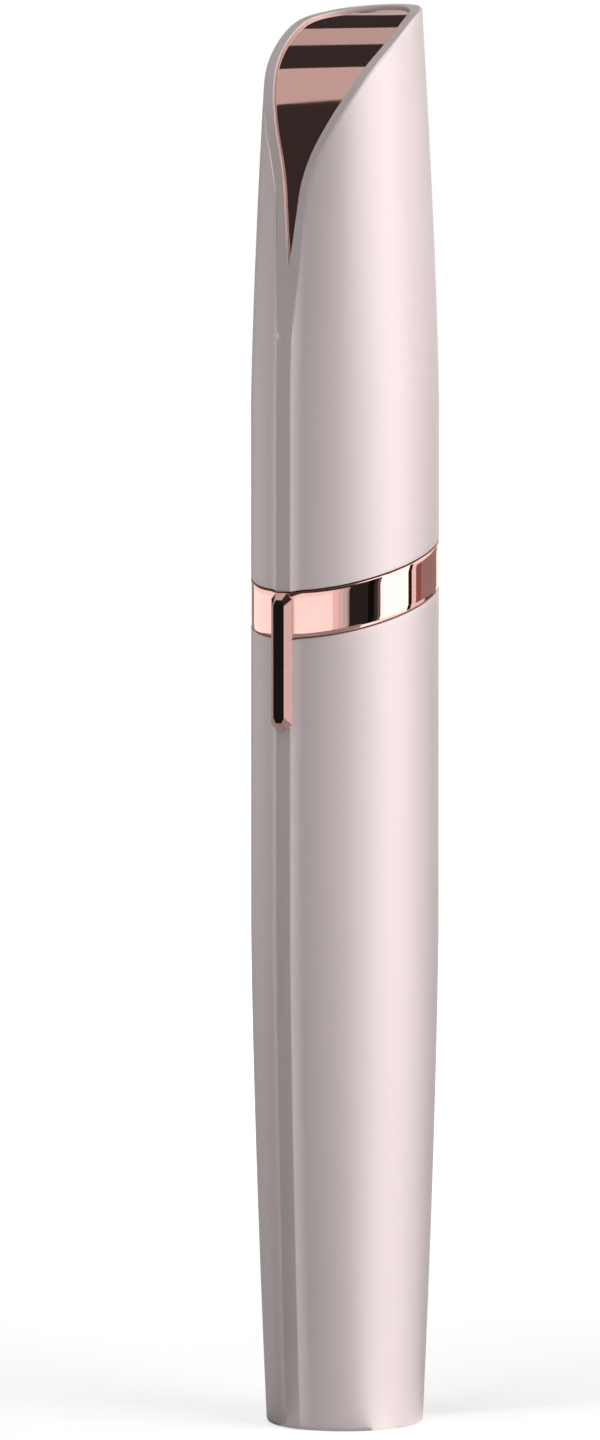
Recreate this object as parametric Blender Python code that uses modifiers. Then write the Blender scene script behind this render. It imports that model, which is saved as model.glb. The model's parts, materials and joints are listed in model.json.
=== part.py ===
"""Electric eyebrow trimmer, capped, standing on its base.

Metres, +Z up. The origin is the middle of the base. The keel, the raised line that carries the
switch bar, faces -Y. Heights are measured from the base, so an outline in this file is a list of
(radius, height) or (depth, height) pairs, where depth runs from front to back along Y.
"""

import math

import bmesh
import bpy
import numpy as np
from mathutils import Matrix, Vector

# Driving sizes of the whole trimmer. The heights stack up from the base, through the battery, board,
# motor and cutter, to the top of the cap, and come to 140 mm.
# Across, the body stands round the battery, and the frame, nose and motor take their room from it.
BASE_OVER_BATTERY = 0.00247
HANDLE_SWELL = 0.00153
CAP_NARROWING = 0.00175
HANDLE_TAPER_LENGTH = 0.050
CAP_TAPER_LENGTH = 0.040
CAP_HEADROOM = 0.0115
HANDLE_TAPER_POWER = 1.45
CAP_TAPER_POWER = 1.4

# Clearances
SEAM_GAP = 0.00015
FIT_GAP = 0.00010
SEAT_GAP = 0.00025
RUN_GAP = 0.0003
OVERRUN = 0.001

# Keel: the raised line down the front of handle, band and cap
KEEL_BASE_WIDTH = 0.0024
KEEL_FACE_WIDTH = 0.0016
KEEL_HEIGHT = 0.0004
KEEL_ROOT = 0.0005
KEEL_TOP_DROP = 0.0240

# Band between handle and cap, cut on a slant that rises to the back
BAND_ABOVE_BOARD = 0.00245
BAND_WIDTH = 0.00445
BAND_RISE_SHARE = 0.333

# Handle shell and its pad
HANDLE_WALL = 0.00125
HANDLE_FLOOR = 0.0015
HANDLE_EDGE = 0.0005
PAD_THICKNESS = 0.0029
PAD_INSET = 0.0004

# Cap shell, with the rose gold plate let into its slanted face. The face leaves the keel's face
# low down and bends over to the top. Each pair is a share of the cap's width at that height, from front
# to back, and a drop from the top.
CAP_WALL = 0.00075
RIM_WIDTH = 0.00125
RECESS_DEPTH = 0.0005
RECESS_TIP_DROP = 0.0261
TIP_SPREAD_SHARE = 0.12
PLATE_THICKNESS = 0.0003
ROOF_THICKNESS = 0.0005
FACE_POINTS = (
    (-0.0232, 0.03355),
    (-0.0073, 0.02955),
    (0.0033, 0.02555),
    (0.0097, 0.0216),
    (0.0190, 0.0176),
    (0.0544, 0.0137),
    (0.1374, 0.0098),
    (0.2868, 0.0059),
    (0.5676, 0.0020),
    (0.8151, 0.0006),
    (1.0, 0.0000),
)

# Nose cone and its locating pad
NOSE_TOP_RADIUS = 0.00565
NOSE_ABOVE_HOUSING = 0.0012
NOSE_TAPER_POWER = 2.1
NOSE_WALL = 0.0008
NOSE_MOUTH_RADIUS = 0.0051
LOCATOR_RADIUS = 0.00575
LOCATOR_HEIGHT = 0.00045
LOCATOR_ABOVE_BAND = 0.0037

# Light ring, with the spigot that drops into the nose
LIGHT_RING_WIDTH = 0.0028
LIGHT_RING_TOP_RADIUS = 0.0051
LIGHT_RING_RADIUS = 0.00555
LIGHT_RING_EDGE = 0.0003
LIGHT_BORE_RADIUS = 0.00425
SPIGOT_DEPTH = 0.0021

# Slotted guard and its collar
GUARD_LENGTH = 0.0052
GUARD_TOP_RADIUS = 0.0023
GUARD_RADIUS = 0.00415
GUARD_WALL = 0.0004
GUARD_EDGE = 0.00015
SLOT_COUNT = 9
SLOT_WIDTH = 0.00035
SLOT_LENGTH = 0.0038
SLOT_INNER_RADIUS = 0.0013
COLLAR_BORE_RADIUS = 0.0032
COLLAR_LIP_RADIUS = 0.00345
COLLAR_LIP_HEIGHT = 0.0007
COLLAR_DEPTH = 0.0024

# Cutter head, its spindle and spring
BLADE_COUNT = 6
BLADE_THICKNESS = 0.0003
BLADE_GAP = 0.0004
BLADE_HEIGHT = 0.0033
CUTTER_CORE_TOP_RADIUS = 0.0011
CUTTER_CORE_RADIUS = 0.0020
CUTTER_HUB_RADIUS = 0.0011
SPINDLE_RADIUS = 0.0006
SPINDLE_REACH = 0.0018
CUTTER_SPRING_RADIUS = 0.0013
CUTTER_SPRING_WIRE = 0.0003
CUTTER_SPRING_PITCH = 0.00075
CUTTER_SPRING_TURNS = 2

# Spindle housing and bush
HOUSING_LENGTH = 0.0110
HOUSING_BASE_THICKNESS = 0.0012
HOUSING_BASE_INSET = 0.0001
HOUSING_TUBE_RADIUS = 0.0024
HOUSING_BORE_RADIUS = 0.0016
HOUSING_SHELF_RADIUS = 0.0034
HOUSING_SHELF_THICKNESS = 0.0010
BUSH_WALL = 0.0004
BUSH_RUN_GAP = 0.00015
BUSH_LENGTH = 0.0046
BUSH_FLANGE_RADIUS = 0.0020
BUSH_FLANGE_THICKNESS = 0.0004

# Light board and lights
LED_BOARD_DROP = 0.0038
LED_BOARD_THICKNESS = 0.0008
LED_BOARD_RADIUS = 0.0049
LED_COUNT = 4
LED_CIRCLE_RADIUS = 0.0039
LED_SIZE = (0.0010, 0.0016, 0.0012)

# Motor and its carrier
MOTOR_ROOM = 0.0015
MOTOR_ABOVE_BAND = 0.00075
MOTOR_LENGTH = 0.0148
MOTOR_WALL = 0.0005
MOTOR_BOSS_RADIUS = 0.0016
MOTOR_BOSS_LENGTH = 0.0010
SHAFT_RADIUS = 0.0005
SHAFT_BORE_GAP = 0.0002
SHAFT_REACH = 0.0042
MAGNET_WALL = 0.0007
MAGNET_SETBACK = 0.0007
ARMATURE_INSET = 0.0016
ARMATURE_SETBACK = 0.0011
COMMUTATOR_RADIUS = 0.0013
COMMUTATOR_LENGTH = 0.0016
END_CAP_THICKNESS = 0.0015
END_CAP_SPIGOT = 0.0008
END_CAP_SPIGOT_WALL = 0.0006
CARRIER_WALL = 0.0009
CARRIER_FLANGE_INSET = 0.0002
CARRIER_FLANGE_THICKNESS = 0.0013
COUPLING_RADIUS = 0.0022
COUPLING_LENGTH = 0.0048

# Chassis frame: cradle, bulkhead, tube, collar and board web
FRAME_BOTTOM_HEIGHT = 0.0050
FRAME_FOOT_THICKNESS = 0.0015
FRAME_COLLAR_DROP = 0.00825
FRAME_ABOVE_BAND = 0.00255
FRAME_COLLAR_INSET = 0.0005
FRAME_TUBE_WALL = 0.0010
CRADLE_WALL = 0.0009
CRADLE_LIP = 0.0015
BULKHEAD_THICKNESS = 0.0030
WEB_FRONT = -0.0019
WEB_THICKNESS = 0.0012
WEB_TOP_DROP = 0.0020

# Seal ring in a groove round the bulkhead
SEAL_INSET = 0.0002
SEAL_WIRE_RADIUS = 0.0004

# Battery, an AAA cell, and its contacts
BATTERY_RADIUS = 0.00525
BATTERY_LENGTH = 0.0435
TERMINAL_RADIUS = 0.0019
TERMINAL_LENGTH = 0.00095
CONTACT_THICKNESS = 0.0003
CONTACT_INSET = 0.00045
BATTERY_SPRING_LENGTH = 0.0049
BATTERY_SPRING_WIRE = 0.0005
BATTERY_SPRING_INSET = 0.00145
BATTERY_SPRING_TOP_RADIUS = 0.0022
BATTERY_SPRING_TURNS = 4
RISER_WIDTH = 0.0018
RISER_OFFSET = 0.0009
RISER_TONGUE_HEIGHT = 0.0010
TAB_WIDTH = 0.0014
TAB_OFFSET = 0.0023
TAB_LENGTH = 0.0053

# Control board, its screws, the slide switch and the leads
BOARD_SIDE_ROOM = 0.0013
BOARD_THICKNESS = 0.0008
BOARD_LENGTH = 0.0218
BOARD_SETBACK = 0.0009
SCREW_SETBACK = 0.0015
SCREW_DROP = 0.0033
SCREW_RADIUS = 0.0005
SCREW_HEAD_RADIUS = 0.0011
SCREW_HEAD_LENGTH = 0.0008
SCREW_SLOT_WIDTH = 0.0003
SWITCH_WIDTH = 0.0040
SWITCH_THICKNESS = 0.0028
SWITCH_LENGTH = 0.0070
SWITCH_RECESS_DEPTH = 0.0014
KNOB_WIDTH = 0.0016
KNOB_LENGTH = 0.0016
KNOB_SINK = 0.0010
LEAD_RADIUS = 0.00025

# Switch bar on the keel, and its stem
BAR_LENGTH = 0.0134
BAR_TOP_DROP = 0.00315
BAR_BASE_WIDTH = 0.0026
BAR_FACE_WIDTH = 0.0014
BAR_THICKNESS = 0.0005
BAR_GAP = 0.00015
BAR_CORNER = 0.0006
BAR_END_BEVEL = 0.0007
STEM_WIDTH = 0.0012
STEM_LENGTH = 0.0020
STEM_SETBACK = 0.0044
SWITCH_TRAVEL = 0.0015

# Roundness
SHELL_SIDES = 48
PART_SIDES = 32
SMALL_SIDES = 20
PROFILE_STEPS = 9
CURVE_STEPS = 2
COIL_POINTS = 10
SMOOTH_ANGLE = math.radians(35)

# Colours, roughness and metallic value of each material
MATERIALS = {
    "pearl_satin": ((0.71, 0.59, 0.57), 0.38, 0.15),
    "rose_gold_mirror": ((0.93, 0.58, 0.52), 0.06, 1.0),
    "rose_gold_satin": ((0.78, 0.58, 0.53), 0.25, 1.0),
    "light_guide": ((0.96, 0.96, 0.95), 0.25, 0.0),
    "grey_plastic": ((0.33, 0.34, 0.36), 0.5, 0.0),
    "black_plastic": ((0.03, 0.03, 0.035), 0.45, 0.0),
    "white_plastic": ((0.82, 0.82, 0.80), 0.4, 0.0),
    "steel": ((0.62, 0.62, 0.63), 0.28, 1.0),
    "nickel": ((0.72, 0.70, 0.66), 0.22, 1.0),
    "brass": ((0.80, 0.60, 0.27), 0.25, 1.0),
    "magnet": ((0.13, 0.13, 0.14), 0.55, 0.4),
    "copper": ((0.72, 0.36, 0.20), 0.35, 1.0),
    "board_green": ((0.04, 0.20, 0.09), 0.4, 0.0),
    "rubber": ((0.05, 0.05, 0.05), 0.7, 0.0),
    "foam": ((0.16, 0.16, 0.17), 0.95, 0.0),
    "battery_jacket": ((0.10, 0.16, 0.34), 0.3, 0.0),
    "lead_red": ((0.55, 0.05, 0.04), 0.45, 0.0),
    "lead_black": ((0.02, 0.02, 0.02), 0.45, 0.0),
    "led_yellow": ((0.90, 0.82, 0.45), 0.3, 0.0),
}

# Radii and depths worked out from the sizes above, from the battery outwards
BASE_RADIUS = BATTERY_RADIUS + BASE_OVER_BATTERY
BODY_RADIUS = BASE_RADIUS + HANDLE_SWELL
TOP_RADIUS = BODY_RADIUS - CAP_NARROWING
NOSE_RADIUS = BODY_RADIUS - CAP_WALL - RUN_GAP
KEEL_FRONT = BODY_RADIUS + KEEL_HEIGHT
SLANT_REACH = 2 * BODY_RADIUS
HANDLE_BORE_RADIUS = BODY_RADIUS - HANDLE_WALL
FRAME_TUBE_RADIUS = HANDLE_BORE_RADIUS - RUN_GAP
FRAME_BORE_RADIUS = FRAME_TUBE_RADIUS - FRAME_TUBE_WALL
FRAME_COLLAR_RADIUS = FRAME_TUBE_RADIUS - FRAME_COLLAR_INSET
CARRIER_FLANGE_RADIUS = FRAME_COLLAR_RADIUS - CARRIER_FLANGE_INSET
SEAL_RADIUS = FRAME_TUBE_RADIUS - SEAL_INSET
CRADLE_BORE_RADIUS = BATTERY_RADIUS + SEAM_GAP
CRADLE_RADIUS = CRADLE_BORE_RADIUS + CRADLE_WALL
CONTACT_RADIUS = BATTERY_RADIUS - CONTACT_INSET
RISER_DEPTH = BATTERY_RADIUS + RISER_OFFSET
BATTERY_SPRING_RADIUS = BATTERY_RADIUS - BATTERY_SPRING_INSET
MOTOR_RADIUS = NOSE_RADIUS - NOSE_WALL - CARRIER_WALL - MOTOR_ROOM
ARMATURE_RADIUS = MOTOR_RADIUS - ARMATURE_INSET
SHAFT_BORE_RADIUS = SHAFT_RADIUS + SHAFT_BORE_GAP
HOUSING_BASE_RADIUS = MOTOR_RADIUS + 2 * FIT_GAP + CARRIER_WALL - HOUSING_BASE_INSET
BUSH_BORE_RADIUS = SPINDLE_RADIUS + BUSH_RUN_GAP
BUSH_RADIUS = BUSH_BORE_RADIUS + BUSH_WALL
GUARD_INNER_RADIUS = GUARD_RADIUS - GUARD_WALL
GUARD_INNER_TOP_RADIUS = GUARD_TOP_RADIUS - GUARD_WALL
COLLAR_RADIUS = LIGHT_BORE_RADIUS - 2 * FIT_GAP
BOARD_WIDTH = 2 * (FRAME_BORE_RADIUS - BOARD_SIDE_ROOM)
BOARD_BACK = WEB_FRONT - SEAT_GAP
BOARD_FRONT = BOARD_BACK - BOARD_THICKNESS
SCREW_OFFSET = BOARD_WIDTH / 2 - SCREW_SETBACK
SWITCH_BACK = BOARD_FRONT - FIT_GAP
SWITCH_FRONT = SWITCH_BACK - SWITCH_THICKNESS
STEM_DEPTH = FRAME_TUBE_RADIUS
KNOB_FRONT = SEAT_GAP - STEM_DEPTH
KNOB_REACH = SWITCH_FRONT + KNOB_SINK - KNOB_FRONT
BAR_BACK = -KEEL_FRONT - BAR_GAP
BAR_FRONT = BAR_BACK - BAR_THICKNESS

# Heights worked out from the sizes above, from the base to the bulkhead over the battery
CONTACT_HEIGHT = FRAME_BOTTOM_HEIGHT + FRAME_FOOT_THICKNESS + SEAT_GAP
CONTACT_TOP_HEIGHT = CONTACT_HEIGHT + CONTACT_THICKNESS
BATTERY_HEIGHT = CONTACT_TOP_HEIGHT + BATTERY_SPRING_LENGTH
BATTERY_TOP_HEIGHT = BATTERY_HEIGHT + BATTERY_LENGTH
TERMINAL_TOP_HEIGHT = BATTERY_TOP_HEIGHT + FIT_GAP + TERMINAL_LENGTH
POSITIVE_HEIGHT = TERMINAL_TOP_HEIGHT + SEAT_GAP
BULKHEAD_HEIGHT = POSITIVE_HEIGHT + CONTACT_THICKNESS + SEAT_GAP
BULKHEAD_TOP_HEIGHT = BULKHEAD_HEIGHT + BULKHEAD_THICKNESS
SEAL_HEIGHT = BULKHEAD_HEIGHT + BULKHEAD_THICKNESS / 2

# Board, band and switch
BOARD_BOTTOM_HEIGHT = BULKHEAD_TOP_HEIGHT + BOARD_SETBACK
BOARD_TOP_HEIGHT = BOARD_BOTTOM_HEIGHT + BOARD_LENGTH
WEB_TOP_HEIGHT = BOARD_TOP_HEIGHT - WEB_TOP_DROP
SCREW_HEIGHT = BOARD_TOP_HEIGHT - SCREW_DROP
BAND_TOP_HEIGHT = BOARD_TOP_HEIGHT + BAND_ABOVE_BOARD
BAND_BOTTOM_HEIGHT = BAND_TOP_HEIGHT - BAND_WIDTH
BAR_TOP_HEIGHT = BAND_TOP_HEIGHT - BAR_TOP_DROP
BAR_BOTTOM_HEIGHT = BAR_TOP_HEIGHT - BAR_LENGTH
STEM_BOTTOM_HEIGHT = BAR_BOTTOM_HEIGHT + STEM_SETBACK
STEM_MIDDLE_HEIGHT = STEM_BOTTOM_HEIGHT + STEM_LENGTH / 2
FRAME_COLLAR_HEIGHT = BAND_TOP_HEIGHT - FRAME_COLLAR_DROP
FRAME_TOP_HEIGHT = BAND_TOP_HEIGHT + FRAME_ABOVE_BAND
LOCATOR_TOP_HEIGHT = BAND_TOP_HEIGHT + LOCATOR_ABOVE_BAND

# Motor, coupling, spindle, nose, light and cutter
MOTOR_BASE_HEIGHT = BAND_TOP_HEIGHT + MOTOR_ABOVE_BAND
MOTOR_TOP_HEIGHT = MOTOR_BASE_HEIGHT + MOTOR_LENGTH
BOSS_TOP_HEIGHT = MOTOR_TOP_HEIGHT + MOTOR_BOSS_LENGTH
SHAFT_TOP_HEIGHT = MOTOR_TOP_HEIGHT + SHAFT_REACH
COUPLING_HEIGHT = BOSS_TOP_HEIGHT + 3 * RUN_GAP
COUPLING_TOP_HEIGHT = COUPLING_HEIGHT + COUPLING_LENGTH
SPINDLE_BOTTOM_HEIGHT = SHAFT_TOP_HEIGHT + SEAT_GAP
HOUSING_BASE_HEIGHT = COUPLING_TOP_HEIGHT + 2 * RUN_GAP
HOUSING_TOP_HEIGHT = HOUSING_BASE_HEIGHT + HOUSING_LENGTH
LED_BOARD_HEIGHT = HOUSING_TOP_HEIGHT - LED_BOARD_DROP
BUSH_SEAT_HEIGHT = HOUSING_TOP_HEIGHT + FIT_GAP
BUSH_TOP_HEIGHT = BUSH_SEAT_HEIGHT + BUSH_FLANGE_THICKNESS
SPRING_SEAT_HEIGHT = BUSH_TOP_HEIGHT + SEAT_GAP
HUB_BOTTOM_HEIGHT = (
    SPRING_SEAT_HEIGHT + CUTTER_SPRING_TURNS * CUTTER_SPRING_PITCH + CUTTER_SPRING_WIRE + FIT_GAP
)
NOSE_TOP_HEIGHT = HOUSING_TOP_HEIGHT + NOSE_ABOVE_HOUSING
NOSE_TAPER_START = FRAME_TOP_HEIGHT
LIGHT_SEAT_HEIGHT = NOSE_TOP_HEIGHT + SEAM_GAP
LIGHT_RING_TOP_HEIGHT = NOSE_TOP_HEIGHT + LIGHT_RING_WIDTH
GUARD_SEAT_HEIGHT = LIGHT_RING_TOP_HEIGHT + SEAM_GAP
GUARD_HEIGHT = LIGHT_RING_TOP_HEIGHT + GUARD_LENGTH
GUARD_INNER_HEIGHT = GUARD_HEIGHT - GUARD_WALL
CUTTER_TOP_HEIGHT = GUARD_INNER_HEIGHT - BLADE_GAP
BLADE_BOTTOM_HEIGHT = CUTTER_TOP_HEIGHT - BLADE_HEIGHT
SPINDLE_TOP_HEIGHT = BLADE_BOTTOM_HEIGHT + SPINDLE_REACH

# Cap, which stands its headroom over the guard
TOTAL_HEIGHT = GUARD_HEIGHT + CAP_HEADROOM
CAP_TAPER_START = TOTAL_HEIGHT - CAP_TAPER_LENGTH
KEEL_TOP_HEIGHT = TOTAL_HEIGHT - KEEL_TOP_DROP
RECESS_TIP_HEIGHT = TOTAL_HEIGHT - RECESS_TIP_DROP


def body_radius(height):
    """Outer radius of handle and cap: straight in the middle, tapering to both ends."""
    if height < HANDLE_TAPER_LENGTH:
        share = 1 - height / HANDLE_TAPER_LENGTH
        return BODY_RADIUS - (BODY_RADIUS - BASE_RADIUS) * share**HANDLE_TAPER_POWER
    share = max(0, height - CAP_TAPER_START) / (TOTAL_HEIGHT - CAP_TAPER_START)
    return BODY_RADIUS - (BODY_RADIUS - TOP_RADIUS) * share**CAP_TAPER_POWER


def nose_radius(height):
    """Outer radius of the nose cone."""
    share = max(0, height - NOSE_TAPER_START) / (NOSE_TOP_HEIGHT - NOSE_TAPER_START)
    return NOSE_RADIUS - (NOSE_RADIUS - NOSE_TOP_RADIUS) * share**NOSE_TAPER_POWER


def heights(top, bottom, steps=PROFILE_STEPS):
    """Heights from top to bottom, ends included."""
    return [float(height) for height in np.linspace(top, bottom, steps)]


def slant(height, depth):
    """Height of a plane parallel to the band, which crosses the axis at the given height."""
    return height + BAND_RISE_SHARE * depth


def smooth_route(points, steps=4):
    """A smooth curve through the points."""
    ends = np.array([points[0], *points, points[-1]], float)
    route = []
    for before, start, end, after in zip(ends, ends[1:], ends[2:], ends[3:]):
        for share in np.arange(steps) / steps:
            tangents = (end - before) * (share - 2 * share**2 + share**3) / 2
            tangents += (after - start) * (share**3 - share**2) / 2
            rise_share = 3 * share**2 - 2 * share**3
            route.append(start + (end - start) * rise_share + tangents)
    return np.array([*route, ends[-1]])


def face_curve(inset=0, start=0):
    """The slanted face from the side, moved inwards by inset, as (Y, height) pairs."""
    points = []
    for share, drop in FACE_POINTS:
        height = TOTAL_HEIGHT - drop
        points.append(((2 * share - 1) * body_radius(height), height))
    curve = smooth_route(points, CURVE_STEPS)
    slope = np.gradient(curve, axis=0)
    slope /= np.linalg.norm(slope, axis=1)[:, None]
    curve += inset * np.stack([slope[:, 1], -slope[:, 0]], axis=1)
    return [(float(depth), float(height)) for depth, height in curve if height >= start]


def recess_half_width(height, rim):
    """Half the width of the recess, seen from the front: the slanted face less a rim each side, or a
    slim wedge near its tip, where that is wider."""
    curve = face_curve()
    reach = float(np.interp(height, [point[1] for point in curve], [point[0] for point in curve]))
    open_half = math.sqrt(max(0, body_radius(height) ** 2 - reach**2)) - rim
    return max(open_half, (height - RECESS_TIP_HEIGHT) * TIP_SPREAD_SHARE)


def clear_scene():
    for obj in list(bpy.data.objects):
        bpy.data.objects.remove(obj)


def new_collection(name):
    collection = bpy.data.collections.new(name)
    bpy.context.scene.collection.children.link(collection)
    return collection


def new_material(name):
    colour, roughness, metallic = MATERIALS[name]
    material = bpy.data.materials.new(name)
    material.use_nodes = True
    surface = material.node_tree.nodes["Principled BSDF"]
    surface.inputs["Base Color"].default_value = (*colour, 1)
    surface.inputs["Roughness"].default_value = roughness
    surface.inputs["Metallic"].default_value = metallic
    material.diffuse_color = (*colour, 1)
    return material


def add_mesh(name, mesh):
    """An object for the mesh. It counts as a cutter until part() takes it."""
    obj = bpy.data.objects.new(name, mesh)
    bpy.data.collections["cutters"].objects.link(obj)
    obj.hide_render = True
    obj.display_type = "WIRE"
    return obj


def part(obj, material, joint):
    """Bakes the modifiers of a finished piece, and hangs it on its joint."""
    bpy.context.view_layer.update()
    graph = bpy.context.evaluated_depsgraph_get()
    mesh = bpy.data.meshes.new_from_object(obj.evaluated_get(graph))
    obj.modifiers.clear()
    obj.data = mesh
    mesh.name = obj.name
    mesh.materials.clear()
    mesh.materials.append(bpy.data.materials[material])
    mesh.shade_smooth()
    mesh.set_sharp_from_angle(angle=SMOOTH_ANGLE)
    bpy.data.collections["cutters"].objects.unlink(obj)
    bpy.data.collections["eyebrow_trimmer"].objects.link(obj)
    obj.hide_render = False
    obj.display_type = "TEXTURED"
    obj.parent = joint
    obj.matrix_parent_inverse = joint.matrix_world.inverted()
    return obj


def joint_empty(name, height, parent=None):
    """An empty on the axis, which carries the pieces of one moving body."""
    empty = bpy.data.objects.new(name, None)
    bpy.data.collections["eyebrow_trimmer"].objects.link(empty)
    empty.empty_display_size = BODY_RADIUS
    empty.parent = parent
    empty.location = (0, 0, height - (parent.matrix_world.translation.z if parent else 0))
    bpy.context.view_layer.update()
    return empty


def turned(name, outline, sides=PART_SIDES):
    """A turned solid. The outline runs down the outer side and, on a ring, up the inner side."""
    mesh = bpy.data.meshes.new(name)
    edges = [(index, index + 1) for index in range(len(outline) - 1)]
    if outline[0][0] > 0:
        edges.append((len(outline) - 1, 0))
    mesh.from_pydata([(radius, 0, height) for radius, height in outline], edges, [])
    obj = add_mesh(name, mesh)
    screw = obj.modifiers.new("turn", "SCREW")
    screw.steps = sides
    screw.render_steps = sides
    screw.use_merge_vertices = True
    screw.merge_threshold = 0.00001
    return obj


def cylinder(name, radius, bottom, top, sides=PART_SIDES):
    return turned(name, [(0, top), (radius, top), (radius, bottom), (0, bottom)], sides)


def tube(name, radius, bore_radius, bottom, top, sides=PART_SIDES):
    outline = [(radius, top), (radius, bottom), (bore_radius, bottom), (bore_radius, top)]
    return turned(name, outline, sides)


def box(name, low, high):
    """A box between two corners."""
    size = Vector(high) - Vector(low)
    middle = (Vector(high) + Vector(low)) / 2
    shape = bmesh.new()
    bmesh.ops.create_cube(shape, size=1, matrix=Matrix.Translation(middle) @ Matrix.Diagonal((*size, 1)))
    mesh = bpy.data.meshes.new(name)
    shape.to_mesh(mesh)
    shape.free()
    return add_mesh(name, mesh)


def curve_to_mesh(name, curve, matrix):
    """A mesh object made from a curve, with its caps welded on. The curve is removed."""
    guide = bpy.data.objects.new(name, curve)
    bpy.context.scene.collection.objects.link(guide)
    guide.matrix_world = matrix
    bpy.context.view_layer.update()
    graph = bpy.context.evaluated_depsgraph_get()
    mesh = bpy.data.meshes.new_from_object(guide.evaluated_get(graph))
    bpy.data.objects.remove(guide)
    shape = bmesh.new()
    shape.from_mesh(mesh)
    bmesh.ops.remove_doubles(shape, verts=shape.verts, dist=0.000001)
    bmesh.ops.recalc_face_normals(shape, faces=shape.faces)
    shape.to_mesh(mesh)
    shape.free()
    obj = add_mesh(name, mesh)
    obj.matrix_world = matrix
    return obj


def flat_solid(name, outline, width, matrix):
    """A flat outline extruded to a width, and turned upright by the matrix."""
    curve = bpy.data.curves.new(name, "CURVE")
    curve.dimensions = "2D"
    curve.fill_mode = "BOTH"
    curve.extrude = width / 2
    spline = curve.splines.new("POLY")
    spline.points.add(len(outline) - 1)
    for point, (across, height) in zip(spline.points, outline):
        point.co = (across, height, 0, 1)
    spline.use_cyclic_u = True
    return curve_to_mesh(name, curve, Matrix(matrix))


def prism(name, outline, width):
    """A (Y, height) outline extruded to a width along X, centred on the axis."""
    return flat_solid(name, outline, width, ((0, 0, 1, 0), (1, 0, 0, 0), (0, 1, 0, 0), (0, 0, 0, 1)))


def front_prism(name, outline, depth):
    """An (X, height) outline extruded from the axis to a depth in front of it."""
    offset = -depth / 2
    upright = ((1, 0, 0, 0), (0, 0, -1, offset), (0, 1, 0, 0), (0, 0, 0, 1))
    return flat_solid(name, outline, depth, upright)


def wire(name, points, radius, bevel_resolution=1):
    """A round tube along the points."""
    curve = bpy.data.curves.new(name, "CURVE")
    curve.dimensions = "3D"
    curve.bevel_depth = radius
    curve.bevel_resolution = bevel_resolution
    curve.use_fill_caps = True
    spline = curve.splines.new("POLY")
    spline.points.add(len(points) - 1)
    for point, place in zip(spline.points, points):
        point.co = (*place, 1)
    return curve_to_mesh(name, curve, Matrix.Identity(4))


def coil(name, radius, top_radius, bottom, pitch, turns, wire_size):
    """A spring: one unbroken tube that climbs by the pitch each turn."""
    share = np.linspace(0, 1, turns * COIL_POINTS + 1)
    angle = share * turns * 2 * math.pi
    reach = radius + (top_radius - radius) * share
    climb = bottom + wire_size / 2 + share * turns * pitch
    points = np.stack([reach * np.cos(angle), reach * np.sin(angle), climb], axis=1)
    apart = np.linalg.norm(points[:, None] - points[None, :], axis=2)
    far = np.abs(np.subtract.outer(np.arange(len(points)), np.arange(len(points)))) > COIL_POINTS / 2
    gap = apart[far].min() - wire_size
    print(f"{name}: least gap between turns {gap * 1000:.2f} mm")
    return wire(name, points, wire_size / 2)


def boolean(target, other, operation):
    modifier = target.modifiers.new(operation.lower(), "BOOLEAN")
    modifier.operation = operation
    modifier.solver = "EXACT"
    modifier.object = other
    return target


def cut(target, *cutters):
    for cutter in cutters:
        boolean(target, cutter, "DIFFERENCE")
    return target


def join(target, *others):
    for other in others:
        boolean(target, other, "UNION")
    return target


def above_slant(name, height):
    """Everything above the slanted plane that crosses the axis at this height."""
    low = slant(height, -SLANT_REACH)
    high = slant(height, SLANT_REACH)
    top = TOTAL_HEIGHT + OVERRUN
    outline = [(-SLANT_REACH, low), (SLANT_REACH, high), (SLANT_REACH, top), (-SLANT_REACH, top)]
    return prism(name, outline, 2 * SLANT_REACH)


def below_slant(name, height):
    """Everything below the slanted plane that crosses the axis at this height."""
    low = slant(height, -SLANT_REACH)
    high = slant(height, SLANT_REACH)
    outline = [(-SLANT_REACH, -OVERRUN), (SLANT_REACH, -OVERRUN), (SLANT_REACH, high), (-SLANT_REACH, low)]
    return prism(name, outline, 2 * SLANT_REACH)


def above_face(name, inset=0, start=0):
    """Everything above and in front of the cap's slanted face, or of a face inside it."""
    curve = face_curve(inset, start)
    top = TOTAL_HEIGHT + 2 * OVERRUN
    outline = [(-SLANT_REACH, curve[0][1]), *curve, (SLANT_REACH, curve[-1][1])]
    outline += [(SLANT_REACH, top), (-SLANT_REACH, top)]
    return prism(name, outline, 2 * SLANT_REACH)


def below_face(name, inset=0):
    """Everything below and behind the cap's slanted face, or of a face inside it."""
    curve = face_curve(inset)
    outline = [(-SLANT_REACH, curve[0][1]), *curve, (SLANT_REACH, curve[-1][1])]
    outline += [(SLANT_REACH, -OVERRUN), (-SLANT_REACH, -OVERRUN)]
    return prism(name, outline, 2 * SLANT_REACH)


def recess_form(name, rim):
    """The outline of the slanted face less a rim, from the keel to the back, as an upright solid."""
    top = TOTAL_HEIGHT + OVERRUN
    outline = [(0, top), *body_outline(top, CAP_TAPER_START, rim), (0, CAP_TAPER_START)]
    form = turned(name, outline, SHELL_SIDES)
    stations = heights(RECESS_TIP_HEIGHT, TOTAL_HEIGHT - RIM_WIDTH, 2 * PROFILE_STEPS)[1:]
    right = [(recess_half_width(height, rim), height) for height in stations]
    right = [(RUN_GAP / 2, RECESS_TIP_HEIGHT), *right]
    left = [(-across, height) for across, height in reversed(right)]
    return join(form, front_prism(f"{name}_front", right + left, BODY_RADIUS + OVERRUN))


def body_outline(top, bottom, inset=0, steps=PROFILE_STEPS):
    """Outer side of handle or cap from top to bottom, moved inwards by inset."""
    return [(body_radius(height) - inset, height) for height in heights(top, bottom, steps)]


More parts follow.
